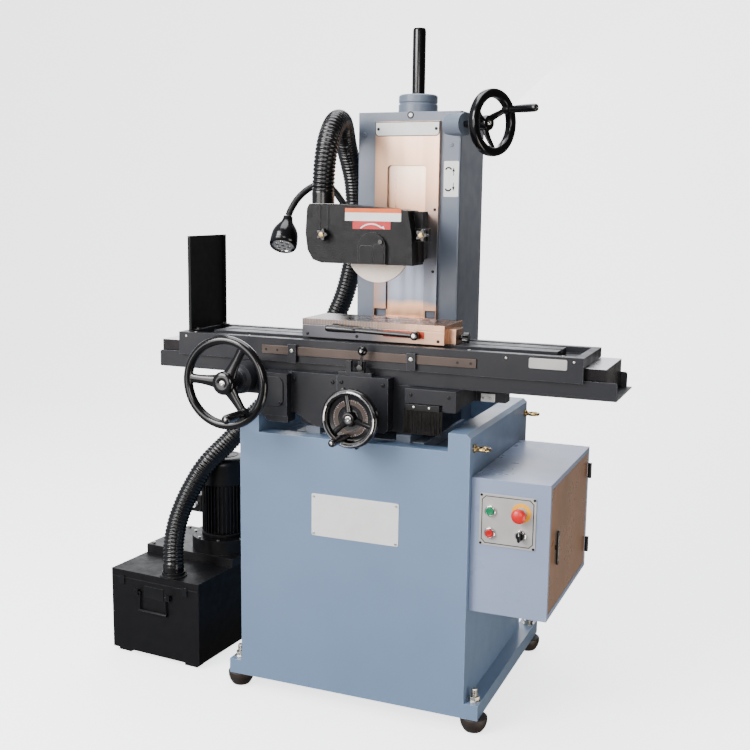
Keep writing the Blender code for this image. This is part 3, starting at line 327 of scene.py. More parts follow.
class Look:
    """A procedural finish: tint and roughness that wander, a fine surface bump, and worn edges lightened by a
    painted highlight.
    """

    def __init__(self, name, colour, rough, metal=0.0):
        self.material = bpy.data.materials.new(name)
        self.material.use_nodes = True
        self.material.diffuse_color = (*colour, 1)
        self.nodes = self.material.node_tree.nodes
        self.links = self.material.node_tree.links
        self.shader = self.nodes["Principled BSDF"]
        self.shader.inputs["Metallic"].default_value = metal
        self.coords = self.nodes.new("ShaderNodeTexCoord").outputs["Object"]
        self.colour = self.constant(colour)
        self.rough = rough
        self.normal = None

    def constant(self, colour):
        node = self.nodes.new("ShaderNodeRGB")
        node.outputs[0].default_value = (*colour, 1)
        return node.outputs[0]

    def noise(self, scale, detail=4.0, stretch=(1, 1, 1)):
        place = self.nodes.new("ShaderNodeMapping")
        place.inputs["Scale"].default_value = stretch
        self.links.new(self.coords, place.inputs["Vector"])
        node = self.nodes.new("ShaderNodeTexNoise")
        node.inputs["Scale"].default_value = scale
        node.inputs["Detail"].default_value = detail
        self.links.new(place.outputs[0], node.inputs["Vector"])
        return node.outputs["Fac"]

    def along(self, axis, source=None):
        """One axis of the object's coordinates, or of another vector."""
        node = self.nodes.new("ShaderNodeSeparateXYZ")
        self.links.new(source or self.coords, node.inputs[0])
        return node.outputs[axis]

    def ramp(self, value, low, high, out_low=0.0, out_high=1.0):
        node = self.nodes.new("ShaderNodeMapRange")
        names = ("From Min", "From Max", "To Min", "To Max")
        for name, number in zip(names, (low, high, out_low, out_high)):
            node.inputs[name].default_value = number
        self.links.new(value, node.inputs["Value"])
        return node.outputs[0]

    def math(self, kind, a, b):
        node = self.nodes.new("ShaderNodeMath")
        node.operation = kind
        for i, v in enumerate((a, b)):
            if isinstance(v, (int, float)):
                node.inputs[i].default_value = v
            else:
                self.links.new(v, node.inputs[i])
        return node.outputs[0]

    def over(self, factor, colour):
        """Lays another colour over this one by a factor."""
        node = self.nodes.new("ShaderNodeMix")
        node.data_type = "RGBA"
        self.links.new(factor, node.inputs["Factor"])
        self.links.new(self.colour, node.inputs["A"])
        self.links.new(self.constant(colour), node.inputs["B"])
        self.colour = node.outputs["Result"]
        return self

    def vary(self, amount, scale=5.0, stretch=(1, 1, 1), tint=(1, 1, 1)):
        base = self.material.diffuse_color
        dark = tuple(max(0.0, c * (1 - amount) * t) for c, t in zip(base[:3], tint))
        return self.over(self.ramp(self.noise(scale, 5.0, stretch), 0.35, 0.7), dark)

    def bump(self, scale, strength, distance=0.0004, stretch=(1, 1, 1), detail=2.0):
        node = self.nodes.new("ShaderNodeBump")
        node.inputs["Strength"].default_value = strength
        node.inputs["Distance"].default_value = distance
        self.links.new(self.noise(scale, detail, stretch), node.inputs["Height"])
        if self.normal:
            self.links.new(self.normal, node.inputs["Normal"])
        self.normal = node.outputs[0]
        return self

    def edges(self, colour, radius=0.0012, amount=0.8):
        """Worn edges lightened by a painted highlight, where a rounded normal leaves the face's own."""
        bevel = self.nodes.new("ShaderNodeBevel")
        bevel.samples = 4
        bevel.inputs["Radius"].default_value = radius
        geometry = self.nodes.new("ShaderNodeNewGeometry")
        dot = self.nodes.new("ShaderNodeVectorMath")
        dot.operation = "DOT_PRODUCT"
        self.links.new(bevel.outputs[0], dot.inputs[0])
        self.links.new(geometry.outputs["Normal"], dot.inputs[1])
        mask = self.ramp(dot.outputs["Value"], 0.99, 0.86, 0.0, amount)
        broken = self.ramp(self.noise(60.0, 6.0), 0.3, 0.62, 0.35, 1.0)
        # The lighter colour along the edges is a painted highlight, broken up by noise like wear.
        return self.over(self.math("MULTIPLY", mask, broken), colour)

    def done(self, wander, wander_scale, coat=0.0, shine=0.5, stretch=(1, 1, 1)):
        self.shader.inputs["Specular IOR Level"].default_value = shine
        low, high = max(0.02, self.rough - wander), min(1.0, self.rough + wander)
        self.links.new(self.colour, self.shader.inputs["Base Color"])
        uneven = self.ramp(self.noise(wander_scale, 5.0, stretch), 0.3, 0.7, low, high)
        self.links.new(uneven, self.shader.inputs["Roughness"])
        if self.normal:
            self.links.new(self.normal, self.shader.inputs["Normal"])
        self.shader.inputs["Coat Weight"].default_value = coat
        self.shader.inputs["Coat Roughness"].default_value = 0.12
        return self.material


EVEN = (1, 1, 1)
ALONG_X = (0.05, 1, 1)


def painted_warm_reflection(look):
    """Paints a warm reflection over the chuck's right end."""
    share = look.ramp(look.along("X"), DATUM.x + 0.02, DATUM.x + 0.2, 0.0, 0.85)
    # Painted warm reflection, growing towards the right end.
    return look.over(share, (0.62, 0.37, 0.24))


def stripes():
    """The chuck's working face: steel poles with thin brass lines between them."""
    look = Look("chuck_poles", (0.115, 0.105, 0.105), 0.28, 1.0)
    step = look.math("FRACT", look.math("MULTIPLY", look.along("X"), 1 / 0.0085), 0.0)
    look.over(look.ramp(step, 0.74, 0.78), (0.24, 0.14, 0.07))
    look.over(look.ramp(look.noise(9.0, 4.0, (1, 30, 1)), 0.45, 0.7, 0.0, 0.5), (0.12, 0.11, 0.12))
    # The poles take a painted warm reflection at their right end.
    return painted_warm_reflection(look).bump(900.0, 0.12, 0.0002, (0.05, 1, 1)).done(0.07, 40.0)


def brushed(name, colour, rough, stretch, amount=0.22, strength=0.1):
    look = Look(name, colour, rough, 1.0).vary(amount, 26.0, stretch)
    return look.bump(420.0, strength, 0.0003, stretch)


def painted_reflection_steel(name, rough, stops, side, strength=0.05):
    """Brushed sheet with painted reflections in bands that change with height, and painted shade that darkens it
    towards its left edge.
    """
    upright = (1, 1, 0.04)
    look = brushed(name, stops[0][1], rough, upright, 0.08, strength)
    height = look.math("ADD", look.along("Z"), look.math("MULTIPLY", look.noise(6.0, 3.0), 0.05))
    # Bands of painted reflection, warm and cool, by height.
    for (low, _), (high, colour) in zip(stops, stops[1:]):
        look.over(look.ramp(height, low, high), colour)
    left, right, painted_shade_strength = side
    # Painted shade towards the left edge.
    look.over(look.ramp(look.along("X"), DATUM.x + right, DATUM.x + left, 0.0, painted_shade_strength), (0.3, 0.17, 0.11))
    return look.done(0.08, 34.0, stretch=upright)


def painted_toplight_sheet(name, painted_top_light, lower, rough):
    """Sheet steel with painted top light: faces that look up are painted bright, and the sides stay dark."""
    look = Look(name, lower, rough, 0.85).vary(0.25, 14.0).bump(420.0, 0.1, 0.0003, ALONG_X)
    normal = look.nodes.new("ShaderNodeNewGeometry").outputs["Normal"]
    # Painted light: faces that look up take the bright colour.
    look.over(look.ramp(look.along("Z", normal), 0.35, 0.85), painted_top_light)
    return look.edges((0.62, 0.58, 0.55), 0.001, 0.6).done(0.08, 34.0)


# Each finish: material, colour, roughness, metal, then what vary, bump, edges (worn edges with a painted
# highlight) and done are given.
FINISHES = {
    "grey_blue": ("grey_blue_paint", (0.148, 0.228, 0.36), 0.36, 0, (0.1, 3.0), (520.0, 0.1),
                  ((0.5, 0.56, 0.66), 0.002, 0.7), (0.07, 14.0, 0.15)),
    "box_blue": ("box_paint", (0.245, 0.305, 0.45), 0.32, 0, (0.1, 3.0), (520.0, 0.1),
                 ((0.6, 0.66, 0.76), 0.0007, 0.7), (0.07, 14.0, 0.15)),
    # The door's brown colour is painted warm light over its blue-grey paint.
    "door": ("door_paint_warm_light", (0.3, 0.16, 0.085), 0.3, 0, (0.45, 2.2, EVEN, (0.8, 1.0, 1.3)), (520.0, 0.04),
             ((0.55, 0.42, 0.34), 0.0006, 0.6), (0.06, 14.0, 0.25)),
    "mid_blue": ("mid_blue_paint", (0.135, 0.165, 0.22), 0.36, 0, (0.16, 4.0), (260.0, 0.22, 0.0005),
                 ((0.36, 0.42, 0.52), 0.002, 0.8), (0.08, 18.0, 0.12)),
    "charcoal": ("charcoal_paint", (0.012, 0.013, 0.0175), 0.46, 0, (0.3, 5.0), (240.0, 0.25, 0.0005),
                 ((0.22, 0.24, 0.28), 0.0014, 0.85), (0.1, 20.0, 0.05, 0.32)),
    "black": ("black_paint", (0.005, 0.005, 0.006), 0.38, 0, (0.3, 8.0), (420.0, 0.16),
              ((0.09, 0.09, 0.1), 0.001, 0.7), (0.08, 30.0, 0.06, 0.28)),
    "gloss": ("gloss_black", (0.003, 0.003, 0.004), 0.17, 0, (0.3, 12.0), (90.0, 0.06, 0.0006),
              ((0.05, 0.05, 0.055), 0.0008, 0.5), (0.06, 30.0, 0.3, 0.4)),
    "box_black": ("box_black", (0.0035, 0.0035, 0.0045), 0.48, 0, (0.35, 9.0), (600.0, 0.3),
                  ((0.06, 0.06, 0.065), 0.0012, 0.7), (0.08, 40.0, 0.0, 0.22)),
    "rail": ("dark_ground_steel", (0.085, 0.066, 0.058), 0.36, 0.8, (0.35, 9.0, (0.1, 1, 1)),
             (500.0, 0.2, 0.0003, ALONG_X), ((0.5, 0.45, 0.4), 0.0008, 0.6), (0.08, 30.0)),
    "mirror": ("polished_steel", (0.82, 0.735, 0.67), 0.2, 1, (0.08, 7.0, (1, 1, 0.2), (0.9, 0.98, 1.05)),
               (8.0, 0.03, 0.001), None, (0.05, 10.0)),
    "zinc": ("zinc_plate", (0.6, 0.6, 0.58), 0.28, 1, (0.3, 60.0, EVEN, (1.0, 0.95, 0.8)), (700.0, 0.2),
             None, (0.1, 90.0)),
    "chrome": ("chrome", (0.8, 0.79, 0.78), 0.09, 1, (0.15, 30.0), (200.0, 0.03), None, (0.05, 60.0)),
    "brass": ("brass", (0.62, 0.46, 0.22), 0.26, 1, (0.35, 50.0, EVEN, (0.9, 0.8, 0.6)), (500.0, 0.15),
              None, (0.1, 80.0)),
    "rubber": ("foot_rubber", (0.02, 0.013, 0.01), 0.55, 0, (0.4, 40.0), (480.0, 0.4), None, (0.1, 50.0)),
    "plastic": ("black_plastic", (0.004, 0.004, 0.0045), 0.2, 0, (0.2, 20.0), (900.0, 0.06), None,
                (0.07, 40.0, 0.2)),
    "hose": ("hose_plastic", (0.004, 0.004, 0.0045), 0.26, 0, (0.3, 16.0), (900.0, 0.03, 0.0002), None,
             (0.03, 35.0, 0.15)),
    "plate": ("panel_plate", (0.46, 0.46, 0.45), 0.42, 0.35, (0.12, 18.0), (1500.0, 0.25, 0.0002), None,
              (0.08, 120.0)),
    "white": ("white_plate", (0.78, 0.78, 0.78), 0.35, 0, (0.06, 30.0), (400.0, 0.05), None, (0.06, 60.0, 0.2)),
    "ink": ("black_ink", (0.008, 0.008, 0.009), 0.45, 0, (0.2, 200.0), (900.0, 0.05), None,
            (0.06, 90.0, 0.0, 0.3)),
    "orange": ("orange_band", (0.8, 0.12, 0.001), 0.5, 0, (0.1, 60.0), (600.0, 0.05), None, (0.06, 90.0)),
    "red": ("red_patch", (0.5, 0.002, 0.006), 0.42, 0, (0.12, 60.0), (600.0, 0.05), None, (0.06, 90.0)),
    "label": ("faded_label", (0.62, 0.05, 0.012), 0.5, 0, (0.55, 70.0, EVEN, (1.0, 0.8, 0.7)), (900.0, 0.1),
              None, (0.08, 90.0)),
    "yellow": ("yellow_ring", (0.92, 0.42, 0.002), 0.42, 0, (0.1, 60.0), (600.0, 0.05), None, (0.06, 90.0)),
    "green_button": ("green_button", (0.0, 0.2, 0.075), 0.24, 0, (0.2, 50.0), (400.0, 0.04), None,
                     (0.06, 90.0, 0.2)),
    "red_button": ("red_button", (0.5, 0.003, 0.005), 0.24, 0, (0.2, 50.0), (400.0, 0.04), None,
                   (0.06, 90.0, 0.2)),
    "mushroom": ("red_mushroom", (0.62, 0.008, 0.008), 0.34, 0, (0.16, 40.0), (400.0, 0.05), None,
                 (0.07, 90.0, 0.15)),
    "bristle": ("bristle", (0.007, 0.006, 0.005), 0.55, 0, (0.4, 300.0, (1, 1, 0.1)), (900.0, 0.2), None,
                (0.12, 200.0, 0.0, 0.3)),
    "glass": ("lens_glass", (0.4, 0.44, 0.48), 0.06, 0, (0.15, 40.0), (60.0, 0.05), None, (0.03, 40.0, 1.0)),
}


def finish(name, colour, rough, metal, vary, bump, edges, gloss):
    look = Look(name, colour, rough, metal).vary(*vary).bump(*bump)
    return (look.edges(*edges) if edges else look).done(*gloss)


M = {key: finish(*row) for key, row in FINISHES.items()}
M["crinkle"] = Look("crinkle_black", (0.0042, 0.004, 0.0048), 0.46).vary(0.35, 14.0).bump(
    330.0, 0.75, 0.0009, detail=5.0).bump(1100.0, 0.4).edges((0.14, 0.14, 0.15), 0.0014, 0.8).done(
    0.1, 60.0, shine=0.25)
M["abrasive"] = Look("abrasive", (1.0, 0.88, 0.78), 0.85).vary(0.06, 22.0, tint=(1.0, 0.94, 0.88)).bump(
    1600.0, 0.9, 0.0007, detail=6.0).vary(0.2, 900.0).done(0.08, 300.0)
# The chuck body: a painted warm reflection on its right end and a bright painted highlight along its edges.
M["ground"] = painted_warm_reflection(brushed("ground_steel", (0.085, 0.085, 0.095), 0.32, ALONG_X)).edges(
    (0.85, 0.8, 0.75), 0.001, 0.7).done(0.08, 34.0, stretch=ALONG_X)
# The cover and the slide strip: the peach and blue-grey bands are painted reflections, and the left edge takes
# painted shade.
M["cover"] = painted_reflection_steel("cover_steel", 0.42, (
    (1.085, (0.8, 0.44, 0.27)), (1.11, (0.2, 0.225, 0.28)), (1.3, (0.26, 0.26, 0.29)),
    (1.42, (0.68, 0.41, 0.27)), (1.56, (0.84, 0.56, 0.4))), (-0.097, -0.05, 0.8))
M["strip"] = painted_reflection_steel("strip_steel", 0.34, (
    (1.095, (0.88, 0.5, 0.31)), (1.115, (0.22, 0.25, 0.31)), (1.27, (0.25, 0.27, 0.33)),
    (1.36, (0.84, 0.48, 0.31)), (1.48, (0.93, 0.69, 0.55))), (-0.062, -0.045, 0.55), 0.03)
# The way covers, with painted top light.
M["way_cover"] = painted_toplight_sheet("way_cover_toplit_steel", (0.72, 0.71, 0.73), (0.022, 0.02, 0.022), 0.3)
M["poles"] = stripes()


# ---------------------------------------------------------------- dust hose

HOSE_ROUTE = [
    (-0.154, 0.157, 1.3634), (-0.154, 0.157, 1.4), (-0.151, 0.16, 1.472), (-0.149, 0.18, 1.535),
    (-0.154, 0.235, 1.583), (-0.171, 0.315, 1.586), (-0.192, 0.397, 1.525), (-0.1925, 0.455, 1.43),
    (-0.197, 0.48, 1.33), (-0.205, 0.49, 1.225), (-0.225, 0.49, 1.125), (-0.256, 0.482, 1.035),
    (-0.313, 0.462, 0.92), (-0.389, 0.42, 0.827), (-0.462, 0.37, 0.738), (-0.524, 0.3, 0.65),
    (-0.566, 0.219, 0.582), (-0.597, 0.19, 0.52), (-0.618, 0.165, 0.46), (-0.625, 0.137, 0.405),
    (-0.62, 0.11, 0.35), (-0.6117, 0.0945, 0.3), (-0.6115, 0.0942, 0.2623),
]


def smooth_path(points, per_span):
    p = [Vector(q) for q in points]
    p = [2 * p[0] - p[1], *p, 2 * p[-1] - p[-2]]
    out = []
    for i in range(1, len(p) - 2):
        a, b, c, d = p[i - 1], p[i], p[i + 1], p[i + 2]
        for k in range(per_span):
            t = k / per_span
            cubic = (2 * a - 5 * b + 4 * c - d) * t**2 + (3 * b - a - 3 * c + d) * t**3
            out.append(0.5 * (2 * b + (c - a) * t + cubic))
    return out + [p[-2]]


def even_path(points, step):
    """The same line with points a fixed step apart, and its length."""
    p = np.array([list(q) for q in points])
    run = np.concatenate(([0.0], np.cumsum(np.linalg.norm(np.diff(p, axis=0), axis=1))))
    count = int(round(run[-1] / step))
    at = np.linspace(0, run[-1], count + 1)
    return [Vector([np.interp(t, run, p[:, i]) for i in range(3)]) for t in at], float(run[-1])


def tube(points, radii, sides):
    """A tube along points, each with its own radius, with a frame carried along without twist."""
    rows = []
    side = None
    for i, q in enumerate(points):
        ahead = points[min(i + 1, len(points) - 1)] - points[max(i - 1, 0)]
        ahead.normalize()
        side = ahead.orthogonal() if side is None else side - ahead * side.dot(ahead)
        side.normalize()
        up = ahead.cross(side)
        angles = [2 * math.pi * k / sides for k in range(sides)]
        rows.append([q + radii[i] * (math.cos(a) * side + math.sin(a) * up) for a in angles])
    return loft(rows)


def dust_hose():
    path = smooth_path(HOSE_ROUTE, 8)
    for spot in path[:6]:
        spot.xy = path[0].xy
    for spot in path[-6:]:
        spot.xy = path[-1].xy
    fine, length = even_path(path, HOSE_PITCH / 6)
    radii = []
    for i in range(len(fine)):
        run = i * length / (len(fine) - 1)
        cuff = min(run, length - run)
        wave = 0.5 - 0.5 * math.cos(2 * math.pi * run / HOSE_PITCH)
        grow = min(1.0, max(0.0, (cuff - 0.03) / 0.006))
        radii.append(HOSE_R - HOSE_DEPTH * (1 - wave**0.6) * grow - 0.0004 * (1 - grow))
    hose = piece("suction_hose", [tube(fine, radii, 28)], None, "hose", ["dust_hose"], 80)
    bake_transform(hose)


dust_hose()


# ---------------------------------------------------------------- base


def levelling_foot(tag, x, y):
    pad = [(0, 0), (0.019, 0), (0.024, 0.002), (0.0285, 0.008), (0.033, 0.016), (0.0358, 0.026)]
    pad += [(0.0365, 0.033), (0.0362, 0.0395), (0.034, 0.0415), (0, 0.0415)]
    made = soft(turned(pad, (x, y, 0)), 0.0008, 2)
    piece("foot_pad_" + tag, [made], "base", "rubber", ["levelling_foot_" + tag])
    thread = [(0, 0.04), (0.0088, 0.04)]
    for k in range(24):
        low = 0.0835 + 0.0013 * k
        thread += [(0.0088, low), (0.0079, low + 0.00065)]
    thread += [(0.007, 0.1165), (0, 0.117)]
    nut = hex_nut((x, y, 0.0834), UP, 0.015, 0.0125)
    washer = [(0.009, 0.0831), (0.0175, 0.0831), (0.0175, 0.0845), (0.009, 0.0845)]
    parts = [turned(thread, (x, y, 0), steps=32), nut, soft(turned(washer, (x, y, 0)), 0.0003)]
    piece("foot_stud_" + tag, parts, "base", "zinc")


def lifting_ring(tag, side, y):
    z = 0.757
    ring = moved(turned(ellipse(0.015, 0.0042, 0.0042, 18), steps=48), shift(side * 0.354, y, z))
    shank = rod((side * 0.3283, y, z), (side * 0.342, y, z), 0.0055)
    collar = soft(rod((side * 0.3283, y, z), (side * 0.3335, y, z), 0.0112), 0.0012, 3)
    neck = rod((side * 0.333, y, z), (side * 0.3395, y, z), 0.0085, 32, 0.005)
    parts = [ring, shank, collar, neck]
    piece("lifting_ring_" + tag, parts, "base", "brass", ["lifting_eye_" + tag])


def cabinet():
    refine("cabinet", "base", "grey_blue", 0.0022, 3)
    plate = slab((-0.11, 0.14), (0.482, 0.598), 0.005, "y", (-0.0016, -0.0001), 0.0005, 2)
    piece("front_plate", [plate], "base", "white")
    spots = [(x, z) for x in (-0.103, 0.133) for z in (0.489, 0.591)]
    piece("front_plate_screws", screws(spots, -0.0016, 0.0036), "base", "zinc")
    for tag, x, y in (("fl", -0.348, 0.032), ("fr", 0.348, 0.032), ("bl", -0.348, 0.598), ("br", 0.348, 0.598)):
        levelling_foot(tag, x, y)
    for tag, side, y in (("fl", -1, 0.034), ("fr", 1, 0.034), ("bl", -1, 0.54), ("br", 1, 0.54)):
        lifting_ring(tag, side, y)


def column():
    refine("bed", "base", "mid_blue", 0.002)
    refine("column", "base", "mid_blue", 0.0022, 3)
    low, high = 1.6223, 1.674
    cap = [(0.021, low), (0.057, low), (0.057, 1.646), (0.0545, 1.648), (0.0545, 1.651), (0.0565, 1.653)]
    cap += [(0.0565, high - 0.004), (0.053, high), (0.0235, high), (0.021, high - 0.002)]
    made = soft(turned(cap, (0, 0.47, 0), steps=96), 0.0008, 2)
    piece("column_collar", [made], "base", "mid_blue", ["column_cap"])
    spots = [(0.041 * math.cos(a), 0.47 + 0.041 * math.sin(a), high) for a in (0.6, 2.7, 4.8)]
    piece("column_collar_bolts", [screw_head(p, UP, 0.005, 0.004) for p in spots], "base", "ink")
    refine("slide_cover", "base", "cover", 0.0006)
    made = slab((-0.095, 0.095), (1.556, 1.592), 0.01, "y", (0.3828, 0.3839), 0.0004, 2, "1100")
    piece("name_plate", [made], "base", "white")
    made = slab((-0.0972, 0.0972), (1.5538, 1.5942), 0.0115, "y", (0.3834, 0.3842), 0.0002, 3, "1100")
    piece("name_plate_border", [made], "base", "ink")
    heads = screws([(-0.087, 1.574), (0.087, 1.574)], 0.3829, 0.0042)
    heads += screws([(0.087, 1.35), (0.085, 1.175), (-0.087, 1.35), (-0.087, 1.175)], 0.384, 0.0042)
    piece("cover_screws", heads, "base", "ink")
    info_plate()
    ring = [(0, 0.3962), (0.0098, 0.3962), (0.0098, 0.3949), (0.0064, 0.3948), (0.006, 0.3953), (0, 0.3953)]
    piece("sight_ring", [turned(ring, (0.005, 0, 1.613), "y", 40)], "base", "ink")
    glass = [(0, 0.3949), (0.004, 0.39495), (0.0059, 0.3952), (0.0059, 0.3957), (0, 0.3957)]
    piece("sight_glass", [turned(glass, (0.005, 0, 1.613), "y", 32)], "base", "white")
    plugs = screws([(-0.135, 1.0), (-0.135, 1.56), (0.135, 1.0), (0.128, 1.53)], 0.396, 0.0062, 0.003)
    piece("column_plugs", plugs, "base", "mid_blue")


def info_plate():
    made = slab((0.108, 0.152), (1.386, 1.485), 0.003, "y", (0.3946, 0.3958), 0.0003, 2)
    piece("info_plate", [made], "base", "white")
    inked = (0.39445, 0.3948)
    marks = []
    for z, way in ((1.458, 1), (1.412, -1)):
        first, last = (200, 340) if way > 0 else (160, 20)
        bend = arc((0.122, z), 0.0112, first, last, 16) + arc((0.122, z), 0.0068, last, first, 16)
        marks.append(prism([(u, 2 * z - v) for u, v in bend], "y", *inked))
        tip = [(0.137, z + 0.01 * way), (0.133, z - 0.002 * way), (0.141, z - 0.002 * way)]
        marks.append(prism(tip, "y", *inked))
        marks.append(block((0.1361, 0.1379), inked, sorted((z - 0.002 * way, z - 0.013 * way))))
    piece("info_plate_arrows", marks, "base", "ink")


def control_box():
    refine("control_box", "base", "box_blue", 0.0012, 3)
    refine("control_box_door", "box_door", "door", 0.0012)
    hinges = []
    for z in (0.4, 0.618):
        hinges.append(soft(rod((0.5385, 0.486, z - 0.022), (0.5385, 0.486, z + 0.022), 0.0048), 0.0006))
        hinges.append(soft(block((0.5331, 0.5345), (0.4815, 0.494), (z - 0.02, z + 0.02)), 0.0003))
    piece("door_hinges", hinges, "base", "ink")
    x, y, z = 0.5328, 0.093, 0.507
    sides = (y - 0.007, y + 0.007), (z - 0.045, z + 0.045)
    bar = slab(*sides, 0.0065, "x", (x + 0.003, x + 0.009), 0.0012, 3, count=8)
    hub = drum(0.0062, 0, 0.005, (x, y, z), "x")
    piece("latch_bar", [bar, hub], "door_latch", "gloss", ["door_latch"])
    sides = (y - 0.0035, y + 0.0035), (z - 0.036, z + 0.036)
    inlay = slab(*sides, 0.0034, "x", (x + 0.0088, x + 0.0094), 0.0002)
    piece("latch_inlay", [inlay], "door_latch", "zinc")
    panel_sheet()
    panel_controls()


def panel_sheet():
    face = BUTTON_Y
    made = slab((0.352, 0.498), (0.514, 0.649), 0.004, "y", (face - 0.0022, face), 0.0006, 2, count=5)
    piece("panel_sheet", [made], "base", "plate", ["control_panel"])
    a, b, c, d, cut = 0.3575, 0.4925, 0.5195, 0.6435, 0.01
    outer = [(a + cut, c), (b - cut, c), (b, c + cut), (b, d - cut)]
    outer += [(b - cut, d), (a + cut, d), (a, d - cut), (a, c + cut)]
    thick = 0.0021
    line = []
    for i, start in enumerate(outer):
        start, end = Vector(start), Vector(outer[(i + 1) % len(outer)])
        run = (end - start).normalized() * thick * 0.4
        across = Vector((-run.y, run.x)).normalized() * thick
        quad = [start - run, end + run, end + run + across, start - run + across]
        line.append(prism([tuple(corner) for corner in quad], "y", face - 0.0024, face - 0.002))
    piece("panel_border", line, "base", "ink")
    spots = [(u, v) for u in (0.3565, 0.4935) for v in (0.5185, 0.6445)]
    piece("panel_screws", screws(spots, face - 0.0022, 0.0034, 0.0018), "base", "ink")


def knob_shape(profile, x, z, steps=48):
    """A round control whose profile's heights are told from the panel's face."""
    return turned(profile, (x, BUTTON_Y, z), "y", steps)


def panel_controls():
    start, stop, emergency, selector = (0.381, 0.605), (0.381, 0.548), (0.4585, 0.605), (0.461, 0.551)
    ring = [(0.0108, -0.01), (0.013, -0.01), (0.0147, -0.008), (0.015, -0.002), (0.0108, -0.002)]
    bezels = [soft(knob_shape(ring, *spot), 0.0005, 2) for spot in (start, stop, emergency, selector)]
    piece("control_bezels", bezels, "base", "chrome")
    ring = [(0.0152, -0.0036), (0.025, -0.0036), (0.0252, -0.002), (0.0152, -0.002)]
    piece("stop_backing", [soft(knob_shape(ring, 0.4605, 0.608, 64), 0.0004)], "base", "yellow")
    cap = [(0, -0.0122), (0.006, -0.0124), (0.0085, -0.013), (0.0098, -0.0126), (0.0103, -0.0115)]
    cap += [(0.0103, -0.0056), (0, -0.0056)]
    for way, spot, key in (("start", start, "green_button"), ("stop", stop, "red_button")):
        made = [knob_shape(cap, *spot)]
        piece(f"button_{way}_cap", made, way + "_button", key, ["button_" + way])
    cap = [(0, -0.033), (0.008, -0.0325), (0.0135, -0.0308), (0.017, -0.0282), (0.0188, -0.0245)]
    cap += [(0.019, -0.0215), (0.018, -0.0192), (0.0103, -0.018), (0.0103, -0.0066), (0, -0.0066)]
    made = [soft(knob_shape(cap, *emergency, 64), 0.0004)]
    piece("emergency_mushroom", made, "emergency_stop", "mushroom", ["emergency_stop"])
    spot = (selector[0], BUTTON_Y, selector[1])
    base = soft(drum(0.0103, -0.015, -0.001, spot, "y", 48), 0.0008)
    place = shift(*spot)
    bar = slab((-0.004, 0.004), (-0.0125, 0.0125), 0.0035, "y", (-0.026, -0.014), 0.001, 3)
    parts = [base, moved(bar, place)]
    piece("selector_knob", parts, "selector", "plastic", ["selector_switch"])
    pointer = moved(block((-0.0007, 0.0007), (-0.02605, -0.0255), (0.004, 0.0115)), place)
    piece("selector_pointer", [pointer], "selector", "white")


# ---------------------------------------------------------------- saddle group


def saddle():
    refine("saddle", "saddle", "charcoal", 0.002, 3)
    refine("tray", "saddle", "charcoal", 0.0009)
    for side in ("left", "right"):
        refine("way_cover_" + side, "saddle", "way_cover", 0.001)
    refine("apron", "saddle", "charcoal", 0.0022, 3)
    refine("gear_housing", "saddle", "charcoal", 0.002, 3)
    refine("lever_block", "saddle", "charcoal", 0.001)
    cover = slab((-0.255, -0.19), (0.828, 0.908), 0.02, "y", (-0.0135, -0.0095), 0.0012, 3, count=8)
    piece("gear_cover", [cover], "saddle", "charcoal")
    heads = screws([(-0.247, 0.872), (-0.198, 0.838)], -0.0135, 0.0044, 0.003)
    heads += screws([(-0.172, 0.9), (-0.06, 0.9), (-0.035, 0.902), (0.083, 0.902)], 0.02, 0.005, 0.004)
    heads += screws([(0.16, 0.884), (0.262, 0.884)], 0.02, 0.0042, 0.003)
    piece("apron_screws", heads, "saddle", "ink")
    way_brush()
    made = soft(block((0.296, 0.334), (0.186, 0.1945), (0.85, 0.872)), 0.0015, 3)
    piece("oiler_block", [made], "saddle", "white")
    plugs = [soft(rod((x, 0.1862, 0.861), (x, 0.178, 0.861), 0.0032), 0.0008) for x in (0.306, 0.324)]
    piece("oiler_plugs", plugs, "saddle", "zinc")
    disc = soft(drum(0.0085, 0.008, 0.0202, (0.0205, 0, 0.944), "y", 40), 0.001)
    stem = rod((0.0205, 0.014, 0.944), (0.027, 0.014, 0.982), 0.0035)
    ball = [(0.0125 * math.sin(a), -0.0125 * math.cos(a)) for a in np.linspace(0, math.pi, 25)]
    ball = turned(ball, (0.027, 0.014, 0.989), "z", 40)
    parts = [disc, stem, ball]
    piece("reverse_knob", parts, "reverse_lever", "gloss", ["reverse_lever"])
    cap = screws([(0.0268, 0.9885)], 0.002, 0.0028, 0.001)
    piece("reverse_knob_cap", cap, "reverse_lever", "chrome")


def way_brush():
    clamp = soft(block((0.15, 0.24), (0.0095, 0.0197), (0.846, 0.8615)), 0.0008, 2)
    piece("brush_clamp", [clamp], "saddle", "black", ["way_brush"])
    heads = screws([(0.172, 0.8545), (0.214, 0.8545)], 0.0096, 0.0036, 0.002)
    piece("brush_screws", heads, "saddle", "zinc")
    hairs = []
    for row in range(3):
        for k in range(52):
            x = 0.1445 + 0.002 * k + 0.0006 * math.sin(7.3 * k + row)
            y = 0.0128 + 0.0026 * row
            lean = 0.0018 * math.sin(3.1 * k + 1.7 * row)
            drop = 0.7835 + 0.002 * (0.5 + 0.5 * math.sin(5.7 * k + 2.1 * row))
            end = min(max(x + lean, 0.1435), 0.2465)
            hairs.append(rod((x, y, 0.848), (end, y, drop), 0.00095, 5, 0.0007))
    piece("brush_bristles", hairs, "saddle", "bristle", angle=80)


